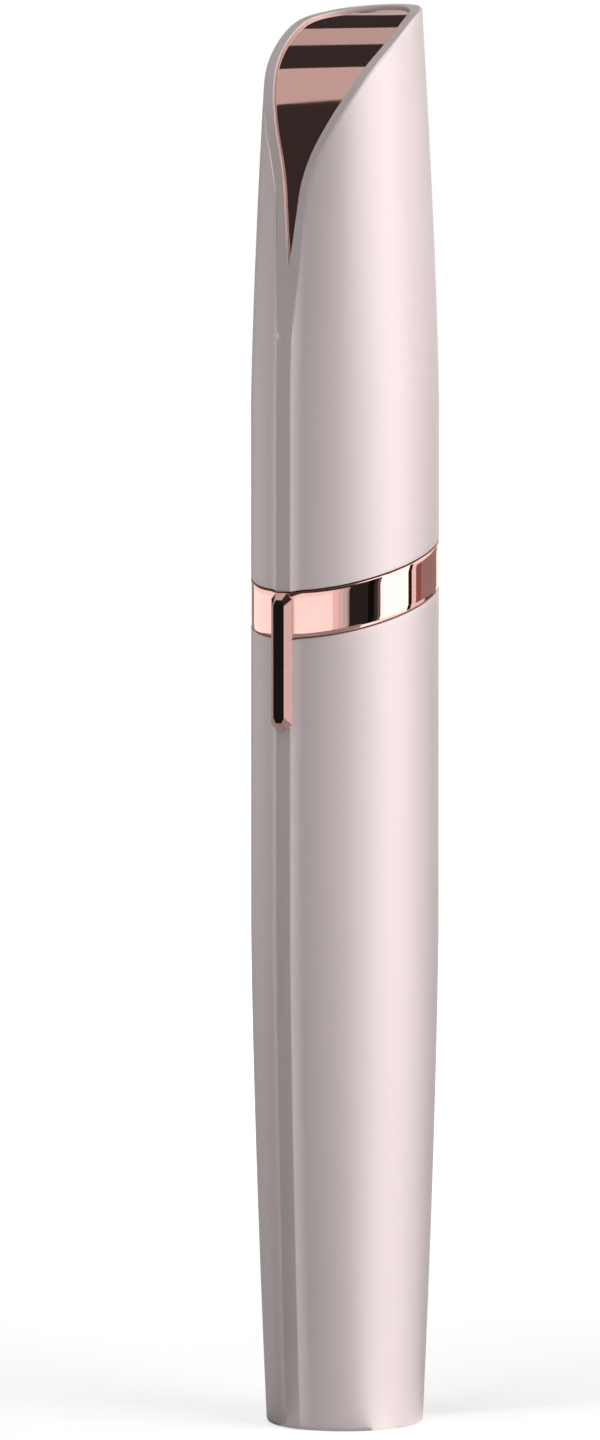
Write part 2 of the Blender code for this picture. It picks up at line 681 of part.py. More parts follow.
def keel(name, top, bottom):
    """The keel between two heights: a ridge with sloping flanks, rooted in the wall behind it."""
    root = body_outline(top, bottom, KEEL_ROOT)
    face = body_outline(bottom, top, -KEEL_HEIGHT)
    obj = prism(name, [(-radius, height) for radius, height in root + face], KEEL_FACE_WIDTH)
    draft_share = (KEEL_BASE_WIDTH - KEEL_FACE_WIDTH) / KEEL_HEIGHT / 2
    half = KEEL_FACE_WIDTH / 2
    root_half = half + draft_share * (KEEL_HEIGHT + KEEL_ROOT)
    for vertex in obj.data.vertices:
        place = obj.matrix_world @ vertex.co
        if -place.y < body_radius(place.z):
            vertex.co.z = math.copysign(root_half, vertex.co.z)
    return obj


def make_handle(joint):
    """Handle shell, closed at the base, with a notch for the switch stem, and its pad."""
    top = slant(BAND_BOTTOM_HEIGHT, BODY_RADIUS)
    outline = [(0, top), *body_outline(top, HANDLE_TAPER_LENGTH, steps=2)]
    outline += body_outline(HANDLE_TAPER_LENGTH, HANDLE_EDGE)[1:]
    outline += [(body_radius(0) - HANDLE_EDGE, 0), (0, 0)]
    cavity = [(0, top + OVERRUN), (HANDLE_BORE_RADIUS, top + OVERRUN)]
    cavity += body_outline(HANDLE_TAPER_LENGTH, HANDLE_FLOOR, HANDLE_WALL, steps=6)
    cavity += [(0, HANDLE_FLOOR)]
    notch_half = STEM_WIDTH / 2 + RUN_GAP
    shell = turned("handle_shell", outline, SHELL_SIDES)
    join(shell, keel("handle_keel", top, HANDLE_EDGE))
    cut(shell, above_slant("handle_mouth", BAND_BOTTOM_HEIGHT - SEAM_GAP))
    cut(shell, turned("handle_cavity", cavity, SHELL_SIDES))
    notch_low = (-notch_half, -KEEL_FRONT - OVERRUN, STEM_BOTTOM_HEIGHT - RUN_GAP)
    notch_high = (notch_half, -HANDLE_BORE_RADIUS + OVERRUN, top)
    cut(shell, box("handle_notch", notch_low, notch_high))
    part(shell, "pearl_satin", joint)

    pad_radius = body_radius(HANDLE_FLOOR) - HANDLE_WALL - PAD_INSET
    pad_height = HANDLE_FLOOR + SEAT_GAP
    pad = cylinder("handle_pad", pad_radius, pad_height, pad_height + PAD_THICKNESS)
    part(pad, "foam", joint)


def make_band(joint):
    """Slanted ring that the cap seats on, with its stretch of the keel."""
    top = slant(BAND_TOP_HEIGHT, BODY_RADIUS)
    bottom = slant(BAND_BOTTOM_HEIGHT, -BODY_RADIUS)
    ring = cylinder("band_ring", BODY_RADIUS, bottom - OVERRUN, top + OVERRUN, SHELL_SIDES)
    join(ring, keel("band_keel", top, bottom - OVERRUN / 2))
    cut(ring, above_slant("band_top", BAND_TOP_HEIGHT))
    cut(ring, below_slant("band_bottom", BAND_BOTTOM_HEIGHT))
    bore_radius = NOSE_RADIUS + SEAM_GAP
    cut(ring, cylinder("band_bore", bore_radius, bottom - 2 * OVERRUN, top + 2 * OVERRUN, SHELL_SIDES))
    part(ring, "rose_gold_mirror", joint)


def make_nose(joint):
    """Nose cone with its locating pad on the keel side."""
    bottom = slant(BAND_BOTTOM_HEIGHT, -BODY_RADIUS)
    stations = heights(NOSE_TOP_HEIGHT, NOSE_TAPER_START)
    outline = [(0, NOSE_TOP_HEIGHT), *((nose_radius(height), height) for height in stations)]
    outline += [(NOSE_RADIUS, bottom), (0, bottom)]
    shift = NOSE_RADIUS + LOCATOR_HEIGHT - LOCATOR_RADIUS
    locator = cylinder("locator", LOCATOR_RADIUS, bottom, LOCATOR_TOP_HEIGHT, SHELL_SIDES)
    locator.location.y = -shift
    cut(locator, below_slant("locator_foot", BAND_TOP_HEIGHT + SEAM_GAP))

    inner_top = NOSE_TOP_HEIGHT - NOSE_WALL
    inner = [(0, NOSE_TOP_HEIGHT + OVERRUN), (NOSE_MOUTH_RADIUS, NOSE_TOP_HEIGHT + OVERRUN)]
    inner += [(NOSE_MOUTH_RADIUS, inner_top)]
    for height in heights(inner_top, NOSE_TAPER_START)[1:]:
        inner.append((nose_radius(height) - NOSE_WALL, height))
    inner += [(NOSE_RADIUS - NOSE_WALL, bottom - OVERRUN), (0, bottom - OVERRUN)]

    cone = turned("nose_cone", outline, SHELL_SIDES)
    join(cone, locator)
    cut(cone, turned("nose_cavity", inner, SHELL_SIDES))
    cut(cone, below_slant("nose_foot", BAND_BOTTOM_HEIGHT + SEAM_GAP))
    part(cone, "rose_gold_mirror", joint)


def make_cap(joint):
    """Cap shell with a slanted top, and the plate let into it."""
    foot = slant(BAND_TOP_HEIGHT, -BODY_RADIUS)
    top = TOTAL_HEIGHT + OVERRUN / 2
    plate_bottom_inset = RECESS_DEPTH + PLATE_THICKNESS
    roof_inset = plate_bottom_inset + FIT_GAP
    outline = [(0, top), *body_outline(top, CAP_TAPER_START)]
    outline += [(BODY_RADIUS, foot - OVERRUN / 2), (0, foot - OVERRUN / 2)]
    shell = turned("cap_shell", outline, SHELL_SIDES)
    join(shell, keel("cap_keel", KEEL_TOP_HEIGHT, foot - OVERRUN / 4))
    cut(shell, above_face("cap_face"))
    cut(shell, below_slant("cap_foot", BAND_TOP_HEIGHT + SEAM_GAP))
    cut(shell, cut(recess_form("cap_recess", RIM_WIDTH), below_face("cap_roof_top", roof_inset)))

    cavity_outline = [(0, top), *body_outline(top, CAP_TAPER_START, CAP_WALL)]
    cavity_outline += [(BODY_RADIUS - CAP_WALL, foot - OVERRUN), (0, foot - OVERRUN)]
    cavity = turned("cap_cavity", cavity_outline, SHELL_SIDES)
    cut(cavity, above_face("cap_roof_bottom", roof_inset + ROOF_THICKNESS, RECESS_TIP_HEIGHT - OVERRUN))
    cut(shell, cavity)

    shift = NOSE_RADIUS + LOCATOR_HEIGHT - LOCATOR_RADIUS
    groove_top = LOCATOR_TOP_HEIGHT + RUN_GAP
    groove = cylinder("cap_groove", LOCATOR_RADIUS + RUN_GAP, foot - OVERRUN, groove_top, SHELL_SIDES)
    groove.location.y = -shift
    cut(shell, groove)
    part(shell, "pearl_satin", joint)

    plate = recess_form("cap_plate", RIM_WIDTH + FIT_GAP)
    cut(plate, above_face("plate_top", RECESS_DEPTH))
    cut(plate, below_face("plate_bottom", plate_bottom_inset))
    part(plate, "rose_gold_mirror", joint)


def make_light(joint):
    """Light ring, its board with four lights, and the lead that feeds them."""
    spigot_radius = NOSE_MOUTH_RADIUS - SEAM_GAP
    spigot_bottom = LIGHT_SEAT_HEIGHT - SPIGOT_DEPTH
    outline = [
        (LIGHT_RING_TOP_RADIUS - LIGHT_RING_EDGE, LIGHT_RING_TOP_HEIGHT),
        (LIGHT_RING_TOP_RADIUS, LIGHT_RING_TOP_HEIGHT - LIGHT_RING_EDGE),
        (LIGHT_RING_RADIUS, LIGHT_SEAT_HEIGHT),
        (spigot_radius, LIGHT_SEAT_HEIGHT),
        (spigot_radius, spigot_bottom),
        (LIGHT_BORE_RADIUS, spigot_bottom),
        (LIGHT_BORE_RADIUS, LIGHT_RING_TOP_HEIGHT),
    ]
    part(turned("light_ring", outline, SHELL_SIDES), "light_guide", joint)

    board_top = LED_BOARD_HEIGHT + LED_BOARD_THICKNESS
    board_bore = HOUSING_TUBE_RADIUS + SEAT_GAP
    board = tube("led_board", LED_BOARD_RADIUS, board_bore, LED_BOARD_HEIGHT, board_top)
    part(board, "white_plastic", joint)

    for index in range(LED_COUNT):
        angle = 2 * math.pi * (index + 0.5) / LED_COUNT
        half = Vector(LED_SIZE) / 2
        light = box(f"led_{index + 1}", -half, half)
        reach = Vector((math.cos(angle), math.sin(angle), 0)) * LED_CIRCLE_RADIUS
        light.location = reach + Vector((0, 0, board_top + FIT_GAP + half.z))
        light.rotation_euler.z = angle
        part(light, "led_yellow", joint)


def make_guard(joint):
    """Slotted guard and the collar that it is crimped to."""
    outline = [
        (0, GUARD_HEIGHT),
        (GUARD_TOP_RADIUS - GUARD_EDGE, GUARD_HEIGHT),
        (GUARD_TOP_RADIUS, GUARD_HEIGHT - GUARD_EDGE),
        (GUARD_RADIUS, GUARD_SEAT_HEIGHT),
        (GUARD_INNER_RADIUS, GUARD_SEAT_HEIGHT),
        (GUARD_INNER_TOP_RADIUS, GUARD_INNER_HEIGHT),
        (0, GUARD_INNER_HEIGHT),
    ]
    guard = turned("tip_guard", outline, 2 * SLOT_COUNT + SMALL_SIDES - 2)
    for index in range(SLOT_COUNT):
        low = (SLOT_INNER_RADIUS, -SLOT_WIDTH / 2, GUARD_HEIGHT - SLOT_LENGTH)
        high = (GUARD_RADIUS + OVERRUN, SLOT_WIDTH / 2, GUARD_HEIGHT + OVERRUN)
        slot = box(f"guard_slot_{index + 1}", low, high)
        slot.rotation_euler.z = math.pi / 2 + 2 * math.pi * index / SLOT_COUNT
        cut(guard, slot)
    part(guard, "rose_gold_satin", joint)

    shoulder = GUARD_SEAT_HEIGHT - FIT_GAP
    outline = [
        (COLLAR_LIP_RADIUS, shoulder + COLLAR_LIP_HEIGHT),
        (COLLAR_LIP_RADIUS, shoulder),
        (COLLAR_RADIUS, shoulder),
        (COLLAR_RADIUS, shoulder - COLLAR_DEPTH),
        (COLLAR_BORE_RADIUS, shoulder - COLLAR_DEPTH),
        (COLLAR_BORE_RADIUS, shoulder + COLLAR_LIP_HEIGHT),
    ]
    part(turned("guard_collar", outline), "black_plastic", joint)


def guard_inner_radius(height):
    """Inner radius of the slotted guard."""
    share = (height - GUARD_SEAT_HEIGHT) / (GUARD_INNER_HEIGHT - GUARD_SEAT_HEIGHT)
    return GUARD_INNER_RADIUS + (GUARD_INNER_TOP_RADIUS - GUARD_INNER_RADIUS) * share


def make_rotor(joint):
    """Everything that turns: armature and shaft, coupling, spindle, spring and cutter head."""
    armature_top = MOTOR_TOP_HEIGHT - MOTOR_WALL - ARMATURE_SETBACK
    armature_bottom = MOTOR_BASE_HEIGHT + ARMATURE_SETBACK + END_CAP_SPIGOT
    commutator_bottom = armature_bottom - COMMUTATOR_LENGTH + END_CAP_SPIGOT
    shaft_bottom = MOTOR_BASE_HEIGHT - END_CAP_THICKNESS + SEAT_GAP
    outline = [
        (0, SHAFT_TOP_HEIGHT),
        (SHAFT_RADIUS, SHAFT_TOP_HEIGHT),
        (SHAFT_RADIUS, armature_top),
        (ARMATURE_RADIUS, armature_top),
        (ARMATURE_RADIUS, armature_bottom),
        (COMMUTATOR_RADIUS, armature_bottom),
        (COMMUTATOR_RADIUS, commutator_bottom),
        (SHAFT_RADIUS, commutator_bottom),
        (SHAFT_RADIUS, shaft_bottom),
        (0, shaft_bottom),
    ]
    part(turned("motor_rotor", outline, SMALL_SIDES), "copper", joint)

    waist = SHAFT_TOP_HEIGHT + FIT_GAP
    outline = [
        (COUPLING_RADIUS, COUPLING_TOP_HEIGHT),
        (COUPLING_RADIUS, COUPLING_HEIGHT),
        (SHAFT_RADIUS + FIT_GAP, COUPLING_HEIGHT),
        (SHAFT_RADIUS + FIT_GAP, waist),
        (SPINDLE_RADIUS + FIT_GAP, waist),
        (SPINDLE_RADIUS + FIT_GAP, COUPLING_TOP_HEIGHT),
    ]
    part(turned("drive_coupling", outline, SMALL_SIDES), "white_plastic", joint)

    spindle = cylinder(
        "cutter_spindle", SPINDLE_RADIUS, SPINDLE_BOTTOM_HEIGHT, SPINDLE_TOP_HEIGHT, SMALL_SIDES
    )
    part(spindle, "steel", joint)

    spring = coil(
        "cutter_spring",
        CUTTER_SPRING_RADIUS,
        CUTTER_SPRING_RADIUS,
        SPRING_SEAT_HEIGHT,
        CUTTER_SPRING_PITCH,
        CUTTER_SPRING_TURNS,
        CUTTER_SPRING_WIRE,
    )
    part(spring, "steel", joint)

    bore_radius = SPINDLE_RADIUS + FIT_GAP
    outline = [
        (0, CUTTER_TOP_HEIGHT),
        (CUTTER_CORE_TOP_RADIUS, CUTTER_TOP_HEIGHT),
        (CUTTER_CORE_RADIUS, BLADE_BOTTOM_HEIGHT),
        (CUTTER_HUB_RADIUS, BLADE_BOTTOM_HEIGHT),
        (CUTTER_HUB_RADIUS, HUB_BOTTOM_HEIGHT),
        (bore_radius, HUB_BOTTOM_HEIGHT),
        (bore_radius, SPINDLE_TOP_HEIGHT + FIT_GAP),
        (0, SPINDLE_TOP_HEIGHT + FIT_GAP),
    ]
    head = turned("cutter_head", outline, SMALL_SIDES)
    blade_outline = [
        (-bore_radius - FIT_GAP, CUTTER_TOP_HEIGHT),
        (BLADE_GAP - guard_inner_radius(CUTTER_TOP_HEIGHT), CUTTER_TOP_HEIGHT),
        (BLADE_GAP - guard_inner_radius(BLADE_BOTTOM_HEIGHT), BLADE_BOTTOM_HEIGHT),
        (-bore_radius - FIT_GAP, BLADE_BOTTOM_HEIGHT),
    ]
    for index in range(BLADE_COUNT):
        blade = prism(f"blade_{index + 1}", blade_outline, BLADE_THICKNESS)
        turn = Matrix.Rotation(2 * math.pi * index / BLADE_COUNT, 4, "Z")
        blade.matrix_world = turn @ blade.matrix_world
        join(head, blade)
    part(head, "steel", joint)


def make_spindle_housing(joint):
    """Housing and bush that carry the spindle, and the shelf that the light board sits on."""
    shelf_top = LED_BOARD_HEIGHT - SEAT_GAP
    base_top = HOUSING_BASE_HEIGHT + HOUSING_BASE_THICKNESS
    bush_bottom = BUSH_SEAT_HEIGHT - BUSH_LENGTH
    outline = [
        (HOUSING_TUBE_RADIUS, HOUSING_TOP_HEIGHT),
        (HOUSING_TUBE_RADIUS, shelf_top),
        (HOUSING_SHELF_RADIUS, shelf_top),
        (HOUSING_SHELF_RADIUS, shelf_top - HOUSING_SHELF_THICKNESS),
        (HOUSING_TUBE_RADIUS, shelf_top - HOUSING_SHELF_THICKNESS),
        (HOUSING_TUBE_RADIUS, base_top),
        (HOUSING_BASE_RADIUS, base_top),
        (HOUSING_BASE_RADIUS, HOUSING_BASE_HEIGHT),
        (HOUSING_BORE_RADIUS, HOUSING_BASE_HEIGHT),
        (HOUSING_BORE_RADIUS, bush_bottom - SEAT_GAP),
        (BUSH_RADIUS + FIT_GAP, bush_bottom - SEAT_GAP),
        (BUSH_RADIUS + FIT_GAP, HOUSING_TOP_HEIGHT),
    ]
    housing = turned("spindle_housing", outline)
    lead_half = LEAD_RADIUS + RUN_GAP
    low = (-lead_half, HOUSING_SHELF_RADIUS + RUN_GAP, HOUSING_BASE_HEIGHT - OVERRUN)
    high = (lead_half, HOUSING_BASE_RADIUS + OVERRUN, base_top + OVERRUN)
    cut(housing, box("housing_lead_slot", low, high))
    part(housing, "grey_plastic", joint)

    outline = [
        (BUSH_FLANGE_RADIUS, BUSH_TOP_HEIGHT),
        (BUSH_FLANGE_RADIUS, BUSH_SEAT_HEIGHT),
        (BUSH_RADIUS, BUSH_SEAT_HEIGHT),
        (BUSH_RADIUS, bush_bottom),
        (BUSH_BORE_RADIUS, bush_bottom),
        (BUSH_BORE_RADIUS, BUSH_TOP_HEIGHT),
    ]
    part(turned("spindle_bush", outline, SMALL_SIDES), "brass", joint)


def make_motor(joint):
    """Motor can, magnet and end cap, and the carrier that holds the motor in the nose."""
    outline = [
        (MOTOR_BOSS_RADIUS, BOSS_TOP_HEIGHT),
        (MOTOR_BOSS_RADIUS, MOTOR_TOP_HEIGHT),
        (MOTOR_RADIUS, MOTOR_TOP_HEIGHT),
        (MOTOR_RADIUS, MOTOR_BASE_HEIGHT),
        (MOTOR_RADIUS - MOTOR_WALL, MOTOR_BASE_HEIGHT),
        (MOTOR_RADIUS - MOTOR_WALL, MOTOR_TOP_HEIGHT - MOTOR_WALL),
        (SHAFT_BORE_RADIUS, MOTOR_TOP_HEIGHT - MOTOR_WALL),
        (SHAFT_BORE_RADIUS, BOSS_TOP_HEIGHT),
    ]
    part(turned("motor_can", outline), "steel", joint)

    magnet_radius = MOTOR_RADIUS - MOTOR_WALL - FIT_GAP
    magnet_bottom = MOTOR_BASE_HEIGHT + MAGNET_SETBACK + END_CAP_SPIGOT
    magnet_top = MOTOR_TOP_HEIGHT - MOTOR_WALL - MAGNET_SETBACK
    magnet = tube("motor_magnet", magnet_radius, magnet_radius - MAGNET_WALL, magnet_bottom, magnet_top)
    part(magnet, "magnet", joint)

    cap_top = MOTOR_BASE_HEIGHT - FIT_GAP
    cap_bottom = MOTOR_BASE_HEIGHT - END_CAP_THICKNESS
    spigot_bore_radius = magnet_radius - END_CAP_SPIGOT_WALL
    outline = [
        (magnet_radius, cap_top + END_CAP_SPIGOT),
        (magnet_radius, cap_top),
        (MOTOR_RADIUS, cap_top),
        (MOTOR_RADIUS, cap_bottom),
        (SHAFT_BORE_RADIUS, cap_bottom),
        (SHAFT_BORE_RADIUS, cap_top),
        (spigot_bore_radius, cap_top),
        (spigot_bore_radius, cap_top + END_CAP_SPIGOT),
    ]
    part(turned("motor_end_cap", outline), "white_plastic", joint)

    bore_radius = MOTOR_RADIUS + 2 * FIT_GAP
    carrier_radius = bore_radius + CARRIER_WALL
    carrier_top = HOUSING_BASE_HEIGHT - SEAT_GAP
    flange_bottom = FRAME_TOP_HEIGHT + SEAT_GAP
    flange_top = flange_bottom + CARRIER_FLANGE_THICKNESS
    chamber_radius = COUPLING_RADIUS + 2 * RUN_GAP
    outline = [
        (carrier_radius, carrier_top),
        (carrier_radius, flange_top),
        (CARRIER_FLANGE_RADIUS, flange_top),
        (CARRIER_FLANGE_RADIUS, flange_bottom),
        (bore_radius, flange_bottom),
        (bore_radius, MOTOR_TOP_HEIGHT + SEAT_GAP),
        (chamber_radius, MOTOR_TOP_HEIGHT + SEAT_GAP),
        (chamber_radius, carrier_top),
    ]
    carrier = turned("motor_carrier", outline)
    lead_half = LEAD_RADIUS + RUN_GAP
    low = (-lead_half, MOTOR_RADIUS - FIT_GAP, flange_bottom - OVERRUN)
    high = (lead_half, CARRIER_FLANGE_RADIUS + OVERRUN, carrier_top + OVERRUN)
    cut(carrier, box("carrier_lead_slot", low, high))
    part(carrier, "grey_plastic", joint)


def make_frame(joint):
    """Chassis frame: foot, open cradle, bulkhead, tube with a front window, collar and board web."""
    outline = [
        (0, FRAME_TOP_HEIGHT),
        (FRAME_COLLAR_RADIUS, FRAME_TOP_HEIGHT),
        (FRAME_COLLAR_RADIUS, FRAME_COLLAR_HEIGHT),
        (FRAME_TUBE_RADIUS, FRAME_COLLAR_HEIGHT),
        (FRAME_TUBE_RADIUS, BULKHEAD_HEIGHT),
        (CRADLE_RADIUS, BULKHEAD_HEIGHT),
        (CRADLE_RADIUS, FRAME_BOTTOM_HEIGHT),
        (0, FRAME_BOTTOM_HEIGHT),
    ]
    frame = turned("chassis_frame", outline, SHELL_SIDES)
    foot_top = FRAME_BOTTOM_HEIGHT + FRAME_FOOT_THICKNESS
    cut(frame, cylinder("frame_bore", FRAME_BORE_RADIUS, BULKHEAD_TOP_HEIGHT, FRAME_TOP_HEIGHT + OVERRUN))
    cut(frame, cylinder("cradle_bore", CRADLE_BORE_RADIUS, foot_top, BULKHEAD_HEIGHT))
    side = FRAME_TUBE_RADIUS + OVERRUN
    cut(frame, box("cradle_opening", (-side, CRADLE_LIP, foot_top), (side, side, BULKHEAD_HEIGHT)))

    web_side = FRAME_BORE_RADIUS + SEAM_GAP
    web_low = (-web_side, WEB_FRONT, BULKHEAD_TOP_HEIGHT - SEAM_GAP)
    join(frame, box("board_web", web_low, (web_side, WEB_FRONT + WEB_THICKNESS, WEB_TOP_HEIGHT)))

    slot_half = RISER_WIDTH / 2 + SEAT_GAP
    riser_back = CONTACT_THICKNESS + SEAT_GAP - RISER_DEPTH
    low = (-slot_half, -FRAME_TUBE_RADIUS - OVERRUN, foot_top)
    cut(frame, box("riser_groove", low, (slot_half, riser_back, BULKHEAD_HEIGHT)))
    low = (-slot_half, -RISER_DEPTH - SEAT_GAP, foot_top)
    cut(frame, box("riser_slot", low, (slot_half, riser_back, BULKHEAD_TOP_HEIGHT + OVERRUN)))
    low = (-slot_half, -RISER_DEPTH - SEAT_GAP, foot_top)
    high = (slot_half, -CONTACT_RADIUS + OVERRUN, CONTACT_TOP_HEIGHT + SEAT_GAP)
    cut(frame, box("riser_foot_slot", low, high))

    tab_front = BOARD_FRONT - SEAT_GAP - CONTACT_THICKNESS
    tab_side = TAB_WIDTH / 2 + SEAT_GAP
    low = (TAB_OFFSET - tab_side, tab_front - SEAT_GAP, BULKHEAD_HEIGHT - OVERRUN)
    high = (TAB_OFFSET + tab_side, BOARD_FRONT, BULKHEAD_TOP_HEIGHT + OVERRUN)
    cut(frame, box("tab_slot", low, high))

    groove_radius = SEAL_RADIUS - SEAL_WIRE_RADIUS - FIT_GAP
    groove_half = SEAL_WIRE_RADIUS + FIT_GAP
    groove_low = SEAL_HEIGHT - groove_half
    groove_high = SEAL_HEIGHT + groove_half
    cut(frame, tube("seal_groove", FRAME_TUBE_RADIUS + OVERRUN, groove_radius, groove_low, groove_high))

    window_half = SWITCH_WIDTH / 2 + RUN_GAP
    switch_bottom = STEM_MIDDLE_HEIGHT + SWITCH_TRAVEL / 2 - SWITCH_LENGTH / 2
    low = (-window_half, -FRAME_TUBE_RADIUS - OVERRUN, switch_bottom)
    high = (window_half, SWITCH_FRONT, switch_bottom + SWITCH_LENGTH)
    cut(frame, box("switch_window", low, high))
    for side in (-1, 1):
        cut(frame, screw_hole(f"web_hole_{side}", side))
    part(frame, "grey_plastic", joint)


def along_depth(obj, side):
    """Turns an upright screw shape so that it points to the front, and puts it at its hole."""
    obj.rotation_euler.x = math.pi / 2
    obj.location = (side * SCREW_OFFSET, 0, SCREW_HEIGHT)
    return obj


def screw_hole(name, side):
    """The clearance hole for one board screw, through board and web."""
    back = -(WEB_FRONT + WEB_THICKNESS + OVERRUN)
    front = -BOARD_FRONT + SEAM_GAP
    return along_depth(cylinder(name, SCREW_RADIUS + SEAM_GAP, back, front, SMALL_SIDES), side)


def make_seal(joint):
    bpy.ops.mesh.primitive_torus_add(
        major_segments=PART_SIDES,
        minor_segments=8,
        major_radius=SEAL_RADIUS,
        minor_radius=SEAL_WIRE_RADIUS,
        location=(0, 0, SEAL_HEIGHT),
    )
    seal = bpy.context.object
    seal.name = "seal_ring"
    for collection in list(seal.users_collection):
        collection.objects.unlink(seal)
    bpy.data.collections["cutters"].objects.link(seal)
    part(seal, "rubber", joint)


def make_battery(joint):
    """Battery cell, its terminal, both contacts and the spring."""
    cell = cylinder("battery_cell", BATTERY_RADIUS, BATTERY_HEIGHT, BATTERY_TOP_HEIGHT)
    part(cell, "battery_jacket", joint)
    terminal_bottom = BATTERY_TOP_HEIGHT + FIT_GAP
    terminal = cylinder(
        "battery_terminal", TERMINAL_RADIUS, terminal_bottom, TERMINAL_TOP_HEIGHT, SMALL_SIDES
    )
    part(terminal, "nickel", joint)

    positive_top = POSITIVE_HEIGHT + CONTACT_THICKNESS
    positive = cylinder("positive_contact", CONTACT_RADIUS, POSITIVE_HEIGHT, positive_top)
    tab_back = BOARD_FRONT - SEAT_GAP
    low = (TAB_OFFSET - TAB_WIDTH / 2, tab_back - CONTACT_THICKNESS, POSITIVE_HEIGHT)
    high = (TAB_OFFSET + TAB_WIDTH / 2, tab_back, positive_top + TAB_LENGTH)
    join(positive, box("positive_tab", low, high))
    part(positive, "nickel", joint)

    negative = cylinder("negative_contact", CONTACT_RADIUS, CONTACT_HEIGHT, CONTACT_TOP_HEIGHT)
    tongue = BULKHEAD_TOP_HEIGHT + RISER_TONGUE_HEIGHT
    riser_outline = [
        (SEAM_GAP - CONTACT_RADIUS, CONTACT_HEIGHT),
        (SEAM_GAP - CONTACT_RADIUS, CONTACT_TOP_HEIGHT),
        (CONTACT_THICKNESS - RISER_DEPTH, CONTACT_TOP_HEIGHT),
        (CONTACT_THICKNESS - RISER_DEPTH, tongue - CONTACT_THICKNESS),
        (tab_back, tongue - CONTACT_THICKNESS),
        (tab_back, tongue),
        (-RISER_DEPTH, tongue),
        (-RISER_DEPTH, CONTACT_HEIGHT),
    ]
    join(negative, prism("riser", riser_outline, RISER_WIDTH))
    part(negative, "nickel", joint)

    spring_bottom = CONTACT_TOP_HEIGHT + SEAT_GAP
    spring_rise = BATTERY_SPRING_LENGTH - 2 * SEAT_GAP - BATTERY_SPRING_WIRE
    spring = coil(
        "battery_spring",
        BATTERY_SPRING_RADIUS,
        BATTERY_SPRING_TOP_RADIUS,
        spring_bottom,
        spring_rise / BATTERY_SPRING_TURNS,
        BATTERY_SPRING_TURNS,
        BATTERY_SPRING_WIRE,
    )
    part(spring, "nickel", joint)


def make_board(joint):
    """Control board with its two screws, the housing of the slide switch and the leads."""
    low = (-BOARD_WIDTH / 2, BOARD_FRONT, BOARD_BOTTOM_HEIGHT)
    board = box("control_board", low, (BOARD_WIDTH / 2, BOARD_BACK, BOARD_TOP_HEIGHT))
    for side, name in ((-1, "left"), (1, "right")):
        cut(board, screw_hole(f"board_hole_{name}", side))
        head_seat = -BOARD_FRONT + FIT_GAP
        head_top = head_seat + SCREW_HEAD_LENGTH
        outline = [
            (0, head_top),
            (SCREW_HEAD_RADIUS, head_top),
            (SCREW_HEAD_RADIUS, head_seat),
            (SCREW_RADIUS, head_seat),
            (SCREW_RADIUS, -(WEB_FRONT + WEB_THICKNESS)),
            (0, -(WEB_FRONT + WEB_THICKNESS)),
        ]
        screw = along_depth(turned(f"board_screw_{name}", outline, SMALL_SIDES), side)
        reach = SCREW_HEAD_RADIUS + OVERRUN
        slot_low = (-reach, -SCREW_SLOT_WIDTH / 2, head_top - SCREW_HEAD_LENGTH / 2)
        slot_high = (reach, SCREW_SLOT_WIDTH / 2, head_top + OVERRUN)
        cut(screw, along_depth(box(f"screw_slot_{name}", slot_low, slot_high), side))
        part(screw, "steel", joint)
    part(board, "board_green", joint)

    bottom = STEM_MIDDLE_HEIGHT + SWITCH_TRAVEL / 2 - SWITCH_LENGTH / 2
    low = (-SWITCH_WIDTH / 2, SWITCH_FRONT, bottom)
    housing = box("switch_housing", low, (SWITCH_WIDTH / 2, SWITCH_BACK, bottom + SWITCH_LENGTH))
    recess_half = KNOB_WIDTH / 2 + RUN_GAP
    recess_reach = KNOB_LENGTH / 2 + RUN_GAP
    low = (-recess_half, SWITCH_FRONT - OVERRUN, STEM_MIDDLE_HEIGHT - recess_reach)
    high = (
        recess_half,
        SWITCH_FRONT + SWITCH_RECESS_DEPTH,
        STEM_MIDDLE_HEIGHT + SWITCH_TRAVEL + recess_reach,
    )
    cut(housing, box("knob_recess", low, high))
    part(housing, "black_plastic", joint)

    end_cap_bottom = MOTOR_BASE_HEIGHT - END_CAP_THICKNESS
    start = BOARD_BACK + LEAD_RADIUS
    exit_height = BOARD_TOP_HEIGHT - 3 * LEAD_RADIUS
    turn_depth = ARMATURE_RADIUS / 5
    for side, name in ((-1, "black"), (1, "red")):
        across = side * MOTOR_RADIUS / 2
        route = [
            (across, start, exit_height),
            (across, start + 4 * LEAD_RADIUS, exit_height),
            (across, turn_depth, exit_height + 4 * LEAD_RADIUS),
            (across, turn_depth, end_cap_bottom - SEAT_GAP),
        ]
        part(wire(f"motor_lead_{name}", smooth_route(route), LEAD_RADIUS), f"lead_{name}", joint)


